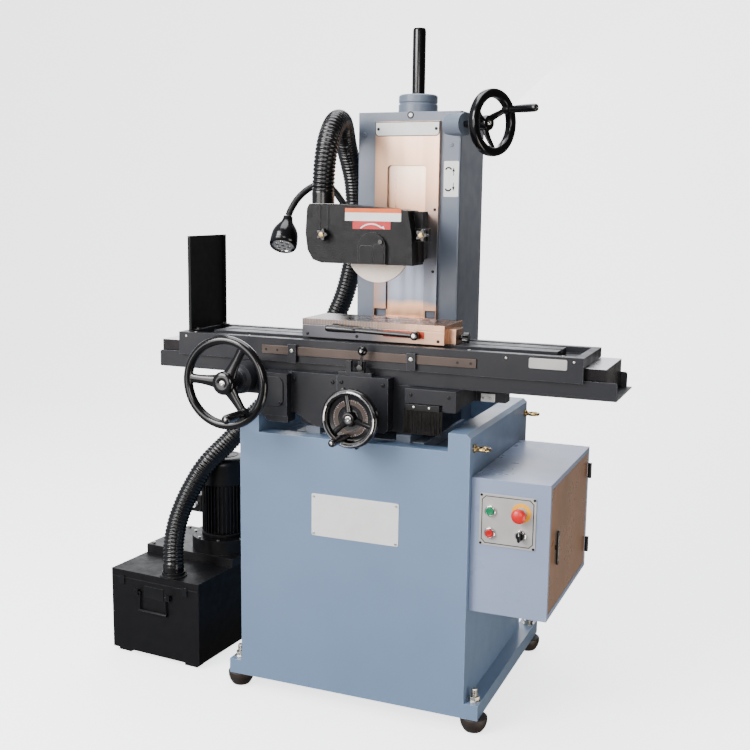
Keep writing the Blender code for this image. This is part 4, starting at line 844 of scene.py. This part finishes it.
def table():
    refine("table", "table", "charcoal", 0.0014)
    heads = screws([(x, 0.9915) for x in (-0.525, -0.4, 0.4, 0.57)], 0.0485, 0.0034, 0.002)
    heads += [screw_head((x, 0.059, 1.003), UP, 0.004, 0.0018) for x in (-0.5, -0.33, 0.3, 0.54)]
    piece("table_screws", heads, "table", "zinc")
    made = slab((0.458, 0.553), (0.9705, 0.9965), 0.004, "y", (0.0468, 0.0479), 0.0003, 2)
    piece("table_plate", [made], "table", "plate")
    refine("splash_guard", "table", "box_black", 0.0006)
    lugs = [soft(block((-0.5345, -0.512), (y, y + 0.028), (1.0034, 1.0062)), 0.0006) for y in (0.092, 0.24)]
    piece("splash_brackets", lugs, "table", "black")
    bolts = [hex_nut((-0.522, y, 1.0062), UP, 0.0055, 0.004) for y in (0.106, 0.254)]
    piece("splash_bolts", bolts, "table", "zinc")
    refine("dog_rail", "table", "rail", 0.0006)
    heads = screws([(x, 0.9715) for x in (-0.27, -0.236, 0.275, 0.31)], 0.04375, 0.0036, 0.0002)
    piece("rail_screws", heads, "table", "ink")
    for side, middle, z in (("left", -0.189, (0.94, 0.99)), ("right", 0.152, (0.944, 0.988))):
        body = side + "_dog"
        made = soft(block((middle - 0.012, middle + 0.012), (0.0365, 0.0434), z), 0.0009, 2)
        piece("stop_dog_" + side, [made], body, "charcoal", ["dog_" + side])
        piece("stop_dog_screw_" + side, screws([(middle, 0.972)], 0.0366, 0.0058, 0.0028), body, "zinc")


def chuck():
    x, y = (-0.181, 0.225), (0.085, 0.237)
    low = soft(block(x, y, (1.0063, 1.04)), 0.001, 3)
    neck = block((x[0] + 0.0008, x[1] - 0.0008), (y[0] + 0.0008, y[1] - 0.0008), (1.039, 1.0425))
    stop = soft(block((x[1] - 0.001, 0.246), (0.118, 0.176), (1.0063, 1.046)), 0.001, 3)
    piece("chuck_body", [low, neck, stop], "table", "ground", ["magnetic_chuck"])
    piece("chuck_poles", [soft(block(x, y, (1.0414, 1.057)), 0.0006, 3)], "table", "poles")
    tag = slab((0.055, 0.17), (1.0205, 1.0385), 0.002, "y", (0.0838, 0.0849), 0.0002)
    piece("chuck_label", [tag], "table", "label")
    piece("chuck_bolts", screws([(u, 1.016) for u in (-0.165, -0.02, 0.208)], 0.0851, 0.0042), "table", "ink")
    pivot = Vector((0.149, 0.07, 1.029))
    boss = [(0, 0.061), (0.008, 0.061), (0.01, 0.0625), (0.0115, 0.065), (0.0115, 0.0847), (0, 0.0847)]
    boss = soft(turned(boss, (pivot.x, 0, pivot.z), "y", 48), 0.0006)
    run = Vector((-0.245, -0.006, 0.0076))
    shape = [(0, 0), (0.0068, 0), (0.0062, 0.3), (0.0056, 0.66), (0.0074, 0.675), (0.0078, 0.72)]
    shape += [(0.0086, 0.85), (0.0095, 0.96), (0.0094, 0.995), (0.008, 1.015), (0, 1.022)]
    arm = moved(turned([(r, share * run.length) for r, share in shape], steps=40), toward(pivot, run))
    piece("chuck_handle", [boss, arm], "chuck_lever", "gloss", ["chuck_lever"], 50)
    screw = screws([(pivot.x, pivot.z)], 0.0611, 0.0058)
    piece("chuck_handle_screw", screw, "chuck_lever", "chrome")
    knob = Vector((0.2463, 0.147, 1.023))
    star = soft(prism(lobed(0.012, 5, 0.0025, 60), "x", 0.256, 0.272), 0.0016, 3)
    parts = [moved(star, shift(0, knob.y, knob.z)), rod(knob, (0.258, knob.y, knob.z), 0.0065)]
    piece("end_stop_star", parts, "end_stop_knob", "plastic", ["end_stop_knob"], 50)


def lobed(radius, lobes, depth, count):
    out = []
    for k in range(count):
        a = 2 * math.pi * k / count
        r = radius + depth * math.cos(lobes * a)
        out.append((r * math.cos(a), r * math.sin(a)))
    return out


# ---------------------------------------------------------------- handwheels


def arm_loft(angle, rows, count=20):
    """A spoke whose oval section changes from hub to rim: rows of (radius, half width, height, half height)."""
    turns = np.linspace(0, 2 * math.pi, count, endpoint=False)
    made = [[(r, half * math.cos(a), z + thick * math.sin(a)) for a in turns] for r, half, z, thick in rows]
    return moved(loft(made), spin(angle))


def grip_shape(length, radius):
    shape = [(0, 0), (0.78, 0), (0.82, 0.015), (0.85, 0.06), (0.89, 0.15), (0.93, 0.25), (0.97, 0.4)]
    shape += [(1.0, 0.55), (1.0, 0.68), (1.0, 0.82), (0.98, 0.9), (0.92, 0.955), (0.8, 0.985)]
    shape += [(0.6, 1.0), (0.42, 1.0), (0.4, 0.985), (0, 0.985)]
    return turned([(r * radius, h * length) for r, h in shape], steps=40)


def grip(name, body, place, length, radius, node):
    made = moved(grip_shape(length, radius), place)
    piece(name, [made], body, "gloss", [node], 50)
    cap = [(0, 0), (0.004, 0), (0.0038, 0.0012), (0.002, 0.0016), (0.0016, 0.0006), (0, 0.0006)]
    cap = moved(turned(cap, steps=24), place @ shift(0, 0, length * 0.985 - 0.0004))
    piece(name + "_screw", [cap], body, "chrome")


def hub_bolt(name, body, place, radius, height):
    r, h = radius, height
    washer = [(0, 0), (1.35 * r, 0), (1.35 * r, 0.25 * h), (1.2 * r, 0.32 * h), (0, 0.32 * h)]
    head = [(0, 0.3 * h), (r, 0.3 * h), (r, 0.85 * h), (0.85 * r, h), (0.52 * r, h), (0.48 * r, 0.55 * h)]
    parts = [moved(turned(p, steps=32), place) for p in (washer, head + [(0, 0.5 * h)])]
    piece(name, parts, body, "chrome")


def table_wheel():
    place = front(TABLE_WHEEL)
    rim = turned(ellipse(0.11275, 0.01225, 0.012, 22), steps=112)
    hub = [(0, -0.0485), (0.021, -0.0485), (0.024, -0.034), (0.0275, -0.02), (0.0305, -0.013)]
    hub += [(0.031, 0.011), (0.0302, 0.0145), (0.0265, 0.018), (0.018, 0.0205), (0.0115, 0.018), (0, 0.018)]
    journal = drum(0.01, -0.135, -0.045)
    angles = [math.radians(a) for a in (177, 61, -55)]
    rows = [(0.018, 0.0215, -0.0015, 0.0105), (0.032, 0.0175, -0.0015, 0.0092), (0.05, 0.0145, -0.0012, 0.0084)]
    rows += [(0.075, 0.0122, -0.0008, 0.0074), (0.095, 0.0125, 0.0, 0.007), (0.104, 0.016, 0.0, 0.0072)]
    at_pin = spin(angles[2]) @ shift(0.094, 0, 0)
    pad = [(0, -0.008), (0.013, -0.008), (0.0145, -0.006), (0.0145, 0.0085), (0.013, 0.0105), (0, 0.0105)]
    pad = moved(turned(pad, steps=40), at_pin)
    shapes = [rim, turned(hub, steps=64), journal, *[arm_loft(a, rows) for a in angles], pad]
    parts = [moved(p, place) for p in shapes]
    piece("long_feed_wheel", parts, "table_handwheel", "gloss", ["table_handwheel"], 42)
    hub_bolt("long_feed_bolt", "table_handwheel", place @ shift(0, 0, 0.0175), 0.0058, 0.003)
    start = place @ at_pin @ Vector((0, 0, 0.0108))
    grip("long_feed_grip", "table_grip", front(start), 0.086, 0.0125, "table_grip")


def cross_wheel():
    place = front(CROSS_WHEEL)
    profile = [(0, -0.038), (0.0165, -0.038), (0.0165, -0.026), (0.06, -0.0255), (0.0735, -0.024)]
    profile += [(0.0765, -0.02), (0.077, -0.012), (0.0762, -0.007), (0.074, -0.004), (0.072, -0.0034)]
    profile += [(0.062, -0.0034), (0.0602, -0.005), (0.059, -0.015), (0.057, -0.0166), (0.022, -0.0178)]
    profile += [(0.0195, -0.0165), (0.0175, -0.004), (0.0155, -0.0008), (0.012, 0.0), (0.009, -0.001)]
    profile.append((0, -0.001))
    journal = drum(0.01, -0.24, -0.03)
    rows = [(0.014, 0.01, -0.014, 0.006), (0.034, 0.0065, -0.0155, 0.004), (0.0595, 0.0075, -0.016, 0.0035)]
    ribs = [arm_loft(math.radians(a), rows, 16) for a in (102, 222, 342)]
    lobes = []
    for a in (15, 105, 195, 285):
        lobe = soft(drum(0.006, -0.02, -0.009, steps=24), 0.001)
        lobes.append(moved(lobe, spin(math.radians(a)) @ shift(0.0745, 0, 0)))
    parts = [moved(p, place) for p in (turned(profile, steps=96), journal, *ribs, *lobes)]
    body = "cross_handwheel"
    piece("cross_feed_wheel", parts, body, "gloss", ["cross_handwheel"], 42)
    ring = [(0.0655, -0.0032), (0.0705, -0.0032), (0.071, -0.0005), (0.0708, 0.0008)]
    ring += [(0.0695, 0.0022), (0.0672, 0.0022), (0.0658, 0.0008)]
    ring = moved(turned(ring, steps=112), place)
    piece("cross_feed_ring", [ring], body, "chrome", ["cross_dial"])
    dial = [(0.0345, -0.0172), (0.0475, -0.017), (0.0475, -0.016), (0.0345, -0.0162)]
    piece("cross_feed_dial", [moved(turned(dial, steps=96), place)], body, "rail")
    ticks = []
    for k in range(50):
        long = 0.006 if k % 10 == 0 else 0.0042 if k % 5 == 0 else 0.0026
        bar = block((0.0472 - long, 0.0472), (-0.00022, 0.00022), (-0.0162, -0.01585))
        ticks.append(moved(bar, place @ spin(2 * math.pi * k / 50)))
    piece("cross_feed_ticks", ticks, body, "white")
    hub_bolt("cross_feed_bolt", body, place @ shift(0, 0, -0.0012), 0.006, 0.0045)
    spot = CROSS_WHEEL + Vector((-0.01, 0.0157, -0.047))
    grip("cross_feed_grip", "cross_grip", front(spot), 0.095, 0.0105, "cross_grip")


def lift_frame(along):
    """A frame on the elevating shaft: +Z outwards along it, +Y up."""
    a = Vector((math.cos(LIFT_ANGLE), -math.sin(LIFT_ANGLE), 0))
    h = Vector((math.sin(LIFT_ANGLE), math.cos(LIFT_ANGLE), 0))
    turn = Matrix((h, Vector((0, 0, 1)), a)).transposed().to_4x4()
    return Matrix.Translation(LIFT_START + a * along) @ turn


def lift_wheel():
    place = lift_frame(LIFT_RIM)
    rim = turned(squircle(0.0778, 0.0122, 0.013, 28), steps=104)
    hub = [(0, -0.062), (0.014, -0.062), (0.0165, -0.057), (0.019, -0.05), (0.021, -0.032), (0.021, -0.015)]
    hub += [(0.0195, -0.011), (0.0165, -0.0095), (0.011, -0.0095), (0.01, -0.0115), (0, -0.0115)]
    journal = drum(0.0095, -0.1425, -0.06)
    angles = [math.radians(a) for a in (34, -86, 154)]
    rows = [(0.01, 0.013, -0.026, 0.0085), (0.024, 0.0105, -0.0245, 0.0078), (0.04, 0.009, -0.0165, 0.0068)]
    rows += [(0.055, 0.0078, -0.0075, 0.0062), (0.066, 0.008, -0.0015, 0.0062), (0.0705, 0.011, 0.0, 0.0064)]
    at_pin = spin(angles[0]) @ shift(0.068, 0, 0)
    pad = [(0, -0.008), (0.011, -0.008), (0.0125, -0.006), (0.0125, 0.0105), (0.0115, 0.0125), (0, 0.0125)]
    pad = moved(turned(pad, steps=36), at_pin)
    shapes = [rim, turned(hub, steps=56), journal, *[arm_loft(a, rows) for a in angles], pad]
    parts = [moved(p, place) for p in shapes]
    piece("elevating_wheel", parts, "elevation_handwheel", "gloss", ["elevation_handwheel"], 42)
    hub_bolt("elevating_wheel_bolt", "elevation_handwheel", place @ shift(0, 0, -0.0118), 0.0056, 0.005)
    spot = place @ at_pin @ Vector((0, 0, 0.0134))
    turn = lift_frame(0).to_3x3().to_4x4()
    grip("elevating_grip", "elevation_grip", Matrix.Translation(spot) @ turn, 0.0914, 0.0112, "elevation_grip")


# ---------------------------------------------------------------- wheel head


def head():
    refine("wheelhead", "head", "black", 0.002, 3)
    refine("slide_panel", "head", "strip", 0.0004)
    screw = [(0, 1.3093), (0.019, 1.3093), (0.019, 1.7), (0.0186, 1.702), (0.019, 1.704), (0.019, 1.851)]
    screw += [(0.0182, 1.856), (0.0165, 1.8595), (0.013, 1.8608), (0, 1.861)]
    screw = turned(screw, (0, 0.47, 0), steps=64)
    piece("elevating_spindle", [screw], "head", "gloss", ["elevating_screw"])
    guard()
    half = 0.0065
    disc = [(0.0163, -half), (0.0895, -half), (0.09, 0.0005 - half), (0.09, half - 0.0005), (0.0895, half)]
    disc = turned(disc + [(0.0163, half)], GRINDING, "y", 144)
    piece("abrasive_wheel", [disc], "wheel", "abrasive", ["grinding_wheel"])
    refine("spindle", "wheel", "chrome", 0.0005)


def guard():
    shell = cad("wheel_guard")
    ribs = [slab(x, (1.2075, top), 0.008, "y", (0.1035, 0.106), 0.001, 2, "0011")
            for x, top in (((0.0165, 0.0455), 1.261), ((-0.024, 0.016), 1.256))]
    lines = [soft(block(x, (0.1132, 0.116), (1.295, 1.362)), 0.0008, 2)
             for x in ((-0.146, -0.1405), (-0.1225, -0.117))]
    parts = [soft(shell, 0.0024, 3), *ribs, *lines]
    piece("guard_shell", parts, "head", "crinkle", ["wheel_guard"])
    bolt = soft(drum(0.0065, 0, 0.004), 0.0008)
    piece("guard_boss_bolt", [moved(bolt, front((0.0365, 0.1045, 1.266)))], "head", "gloss")
    for name, x, z, y, key in (
        ("guard_band", (-0.07, 0.089), (1.3195, 1.3415), 0.1143, "white"),
        ("guard_band_stripe", (-0.07, 0.089), (1.3412, 1.3525), 0.1142, "orange"),
        ("guard_patch", (-0.048, 0.06), (1.2985, 1.3195), 0.1143, "red"),
    ):
        piece(name, [slab(x, z, 0.001, "y", (y, 0.1149))], "head", key)
    centre = (0.006, 1.266)
    bow = arc(centre, 0.048, 48, 132, 20)[2:] + arc(centre, 0.0445, 132, 54, 20)
    tip = [(0.0405, 1.307), (0.03, 1.3035), (0.0435, 1.2995)]
    piece("guard_arrow", [prism(shape, "y", 0.1139, 0.1144) for shape in (bow, tip)], "head", "white")
    for side, x, y, z in (("left", -0.129, 0.1147, 1.2817), ("right", 0.14, 0.1497, 1.285)):
        body = "guard_knob_" + side
        place = front((x, y, z))
        star = soft(prism(lobed(0.0145, 5, 0.003, 70), "z", 0.006, 0.022), 0.0022, 4)
        neck = drum(0.0085, 0, 0.008)
        parts = [moved(star, place), moved(neck, place)]
        piece("guard_star_" + side, parts, body, "plastic", [body], 50)
        bolt = [(0, 0.0215), (0.0072, 0.0215), (0.0072, 0.0242), (0.006, 0.0256), (0.0038, 0.026), (0, 0.026)]
        piece("guard_star_bolt_" + side, [moved(turned(bolt, steps=32), place)], body, "brass")


def lamp():
    route = [(-0.085, 0.262, 1.318), (-0.112, 0.258, 1.33), (-0.134, 0.25, 1.362), (-0.16, 0.236, 1.4)]
    route += [(-0.19, 0.217, 1.4155), (-0.216, 0.198, 1.404), (-0.238, 0.177, 1.379), (-0.251, 0.16, 1.35)]
    route.append((-0.2563, 0.151, 1.33))
    pitch = 0.0042
    fine, _ = even_path(smooth_path(route, 10), pitch / 6)
    radii = [0.0096 - 0.0011 * (0.5 + 0.5 * math.cos(2 * math.pi * i / 6)) ** 1.5 for i in range(len(fine))]
    arm = tube(fine, radii, 20)
    piece("flexible_arm", [arm], "lamp", "black", ["lamp_gooseneck"], 80)
    top = Vector((-0.2567, 0.1503, 1.328))
    aim = Vector((-0.01, -0.022, -0.104)).normalized()
    place = toward(top, aim)
    facing = (place.to_3x3().inverted() @ Vector((0.454, -0.891, 0.0))).normalized()

    def mouth(made):
        """Cuts the lamp's mouth back on its front side."""
        for vert in made.verts:
            along = min(1.0, max(0.0, (vert.co.z - 0.06) / 0.034))
            vert.co.z -= 0.42 * along * (0.038 + vert.co.x * facing.x + vert.co.y * facing.y)
        return moved(made, place)

    shade = [(0, 0), (0.0115, 0), (0.0125, 0.001), (0.014, 0.01), (0.0165, 0.016), (0.023, 0.024)]
    shade += [(0.029, 0.032), (0.0335, 0.041), (0.036, 0.05), (0.0372, 0.06), (0.0378, 0.072)]
    shade += [(0.038, 0.08), (0.038, 0.0935), (0.0376, 0.0975), (0.0355, 0.1005), (0.0325, 0.101)]
    shade += [(0.0312, 0.0995), (0.0305, 0.094), (0, 0.094)]
    shade = mouth(turned(shade, steps=72))
    piece("lamp_shade", [shade], "lamp", "gloss", ["lamp_head"], 40)
    ring = [(0.0311, 0.0945), (0.0322, 0.099), (0.0305, 0.1003), (0.0285, 0.0985), (0.0285, 0.0945)]
    piece("lamp_ring", [mouth(turned(ring, steps=64))], "lamp", "chrome")
    lens = [(0, 0.0985), (0.01, 0.0983), (0.02, 0.0976), (0.0286, 0.0962), (0.0286, 0.0945), (0, 0.0945)]
    piece("lamp_lens", [mouth(turned(lens, steps=56))], "lamp", "glass")
    cells = []
    for k in range(7):
        r, a = (0.0, 0.0) if k == 0 else (0.0165, k * math.pi / 3)
        cell = [(0, 0.0994), (0.0046, 0.099), (0.0058, 0.0972), (0.0058, 0.094), (0, 0.094)]
        cells.append(mouth(moved(turned(cell, steps=20), shift(r * math.cos(a), r * math.sin(a), 0))))
    piece("lamp_cells", cells, "lamp", "mirror")
    switch = soft(turned([(0, 0), (0.0045, 0), (0.0042, 0.006), (0, 0.006)], steps=24), 0.0008)
    spot = toward(place @ Vector((0.0, -0.016, 0.024)), place.to_3x3() @ Vector((0, -1, -0.35)))
    piece("lamp_switch", [moved(switch, spot)], "lamp", "plastic")


# ---------------------------------------------------------------- dust collector


def dust_piece(name, parts, finish_key, replaces=()):
    """A piece whose shapes are told from the dust box's own corner."""
    piece(name, [moved(part, DUST) for part in parts], "base", finish_key, replaces)


def dust_unit():
    refine("dust_box", "base", "box_black", 0.002, 3)
    refine("bail_handle", "bail", "gloss", 0.0004)
    seam = soft(block((0.004, 0.315), (-0.0016, 0.0006), (0.238, 0.2405)), 0.0005)
    plate = slab((0.1215, 0.1935), (0.19, 0.226), 0.004, "y", (-0.0018, 0.0004), 0.0004)
    dust_piece("dust_box_trim", [seam, plate], "black")
    catches = [soft(block((x, x + 0.018), (-0.0042, 0.0004), (0.219, 0.246)), 0.001) for x in (0.032, 0.262)]
    dust_piece("dust_box_catches", catches, "gloss")
    refine("fan_housing", "base", "black", 0.002, 3)
    x, y = MOTOR
    bolts = []
    for k in range(8):
        a = math.pi * (k + 0.5) / 4
        spot = (x + 0.092 * math.cos(a), y + 0.092 * math.sin(a), 0.3321)
        bolts.append(hex_nut(spot, UP, 0.0052, 0.004))
    for spot in ((0.016, 0.185), (0.016, 0.375), (0.11, 0.185)):
        bolts.append(hex_nut((*spot, 0.2884), UP, 0.006, 0.005))
    dust_piece("fan_bolts", bolts, "zinc")
    fan_motor(x, y)
    collar = [(0.0318, 0.2625), (0.04, 0.2625), (0.04, 0.2655), (0.0345, 0.267), (0.0345, 0.276)]
    centre = DUST @ Vector((0.2055, 0.035, 0.0))
    made = soft(turned(collar + [(0.0318, 0.276)], (centre.x, centre.y, 0), steps=64), 0.0005)
    piece("hose_port", [made], "base", "black")


def fan_motor(x, y):
    fins = []
    for k in range(36):
        fin = soft(block((0.052, 0.0692), (-0.001, 0.001), (0.346, 0.504)), 0.0004, 1)
        fins.append(moved(fin, shift(x, y, 0) @ spin(2 * math.pi * k / 36)))
    barrel = drum(0.059, 0.344, 0.506, (x, y, 0), steps=72)
    foot = [(0, 0.3323), (0.069, 0.3323), (0.07, 0.334), (0.07, 0.3415), (0.068, 0.3435), (0.06, 0.347)]
    foot += [(0.056, 0.35), (0, 0.35)]
    cowl = [(0, 0.5), (0.0725, 0.5), (0.0735, 0.502), (0.0735, 0.56), (0.0728, 0.567), (0.0705, 0.5735)]
    cowl += [(0.066, 0.5785), (0.06, 0.5815), (0.05, 0.584), (0.03, 0.5855), (0, 0.5858)]
    foot, cowl = [turned(shape, (x, y, 0), steps=72) for shape in (foot, cowl)]
    box = soft(block((x - 0.096, x - 0.055), (y - 0.045, y + 0.035), (0.4, 0.455)), 0.003, 3)
    dust_piece("motor_body", [barrel, *fins, foot, cowl, box], "black", ["fan_motor"])
    rings = [turned(ellipse(r, 0.0016, 0.001, 8), (x, y, 0.5852), steps=56) for r in (0.014, 0.024, 0.034, 0.044)]
    dust_piece("motor_grille", rings, "ink")
    spots = [(x - 0.096, y + v, z) for v in (-0.038, 0.028) for z in (0.407, 0.448)]
    dust_piece("motor_box_screws", [screw_head(p, (-1, 0, 0), 0.0032, 0.0016) for p in spots], "zinc")
    gland = soft(rod((x - 0.075, y - 0.0452, 0.425), (x - 0.075, y - 0.06, 0.425), 0.0085), 0.001)
    dust_piece("motor_gland", [gland], "white")


# ---------------------------------------------------------------- scene


def backdrop():
    """A pale sheet that curves up behind the machine."""
    floor = bmesh.new()
    rows = []
    for y, z in ((-7.0, 0.0), (2.2, 0.0), (3.0, 0.05), (3.6, 0.3), (4.0, 0.8), (4.2, 1.6), (4.25, 7.0)):
        rows.append([floor.verts.new((x, y, z - 0.0004)) for x in (-9.0, 9.0)])
    for low, high in zip(rows, rows[1:]):
        floor.faces.new([low[0], low[1], high[1], high[0]])
    mesh = bpy.data.meshes.new("studio_floor")
    floor.to_mesh(mesh)
    floor.free()
    mesh.shade_smooth()
    look = Look("studio_paper", (0.93, 0.93, 0.94), 0.75)
    mesh.materials.append(look.vary(0.02, 1.0).bump(40.0, 0.02).done(0.05, 2.0, shine=0.1))
    look.shader.inputs["Emission Color"].default_value = (0.97, 0.98, 1.0, 1)
    look.shader.inputs["Emission Strength"].default_value = 2.4
    obj = bpy.data.objects.new("studio_floor", mesh)
    bpy.context.scene.collection.objects.link(obj)
    obj.visible_diffuse = False
    obj.visible_glossy = False


def lights():
    for name, where, aim, size, power, tint in (
        ("key", (-2.2, -3.2, 3.2), (0, 0.1, 0.9), (2.4, 2.0), 290, (1.0, 0.99, 0.98)),
        ("sheet", (-2.1, -4.4, 1.5), (0, 0.1, 1.1), (3.2, 2.8), 140, (1.0, 0.95, 0.91)),
        ("fill", (1.6, -4.2, 1.6), (0.3, 0.1, 0.6), (1.8, 1.4), 60, (1.0, 0.98, 0.96)),
        ("top", (-0.4, 0.2, 4.4), (-0.1, 0.2, 0.8), (3.2, 2.6), 160, (0.97, 0.98, 1.0)),
        ("bounce", (1.7, -0.3, 0.05), (0.4, 0.25, 0.45), (1.4, 1.4), 30, (1.0, 0.92, 0.84)),
        ("back", (-1.6, 3.6, 2.8), (0, 0.3, 1.0), (2.6, 2.0), 60, (0.96, 0.98, 1.0)),
    ):
        data = bpy.data.lights.new(name, "AREA")
        data.shape = "RECTANGLE"
        data.size, data.size_y = size
        data.energy = power
        data.color = tint
        light = bpy.data.objects.new(name, data)
        light.visible_camera = False
        bpy.context.scene.collection.objects.link(light)
        place = Vector(where) + DATUM
        light.matrix_world = toward(place, place - (Vector(aim) + DATUM))


def surroundings():
    """A sky that is lighter to the left, with a bright patch behind on the left; plain where it shows."""
    world = bpy.data.worlds.new("studio")
    bpy.context.scene.world = world
    world.use_nodes = True
    nodes, links = world.node_tree.nodes, world.node_tree.links
    split = nodes.new("ShaderNodeSeparateXYZ")
    links.new(nodes.new("ShaderNodeTexCoord").outputs["Generated"], split.inputs[0])

    def share(axis, low, high):
        """Grows from 0 to 1 as the direction's part along an axis goes from low to high."""
        node = nodes.new("ShaderNodeMapRange")
        node.inputs["From Min"].default_value = low
        node.inputs["From Max"].default_value = high
        links.new(split.outputs[axis], node.inputs["Value"])
        return node.outputs[0]

    def mixed(factor, under, over):
        node = nodes.new("ShaderNodeMix")
        node.data_type = "RGBA"
        links.new(factor, node.inputs["Factor"])
        links.new(under, node.inputs["A"])
        node.inputs["B"].default_value = over
        return node.outputs["Result"]

    ramp = nodes.new("ShaderNodeValToRGB")
    stops = ((0.0, (0.4, 0.43, 0.48)), (0.45, (0.4, 0.4, 0.42)), (0.62, (0.2, 0.19, 0.18)),
             (1.0, (0.05, 0.045, 0.04)))
    ramp.color_ramp.elements.remove(ramp.color_ramp.elements[0])
    ramp.color_ramp.elements[0].position = stops[0][0]
    ramp.color_ramp.elements[0].color = (*stops[0][1], 1)
    for at, colour in stops[1:]:
        ramp.color_ramp.elements.new(at).color = (*colour, 1)
    links.new(share("X", -1.0, 1.0), ramp.inputs["Fac"])
    lit = share("Y", 0.45, 0.8)
    for axis, low, high in (("Z", -0.06, 0.04), ("X", 0.35, 0.0)):
        both = nodes.new("ShaderNodeMath")
        both.operation = "MULTIPLY"
        links.new(lit, both.inputs[0])
        links.new(share(axis, low, high), both.inputs[1])
        lit = both.outputs[0]
    sky = mixed(lit, ramp.outputs["Color"], (1.9, 1.9, 2.0, 1))
    seen = nodes.new("ShaderNodeLightPath").outputs["Is Camera Ray"]
    links.new(mixed(seen, sky, (2.4, 2.42, 2.5, 1)), nodes["Background"].inputs["Color"])
    nodes["Background"].inputs["Strength"].default_value = 1.0


for make in (cabinet, column, control_box, saddle, table, chuck, table_wheel, cross_wheel, lift_wheel,
             head, lamp, dust_unit, backdrop, lights, surroundings):
    make()
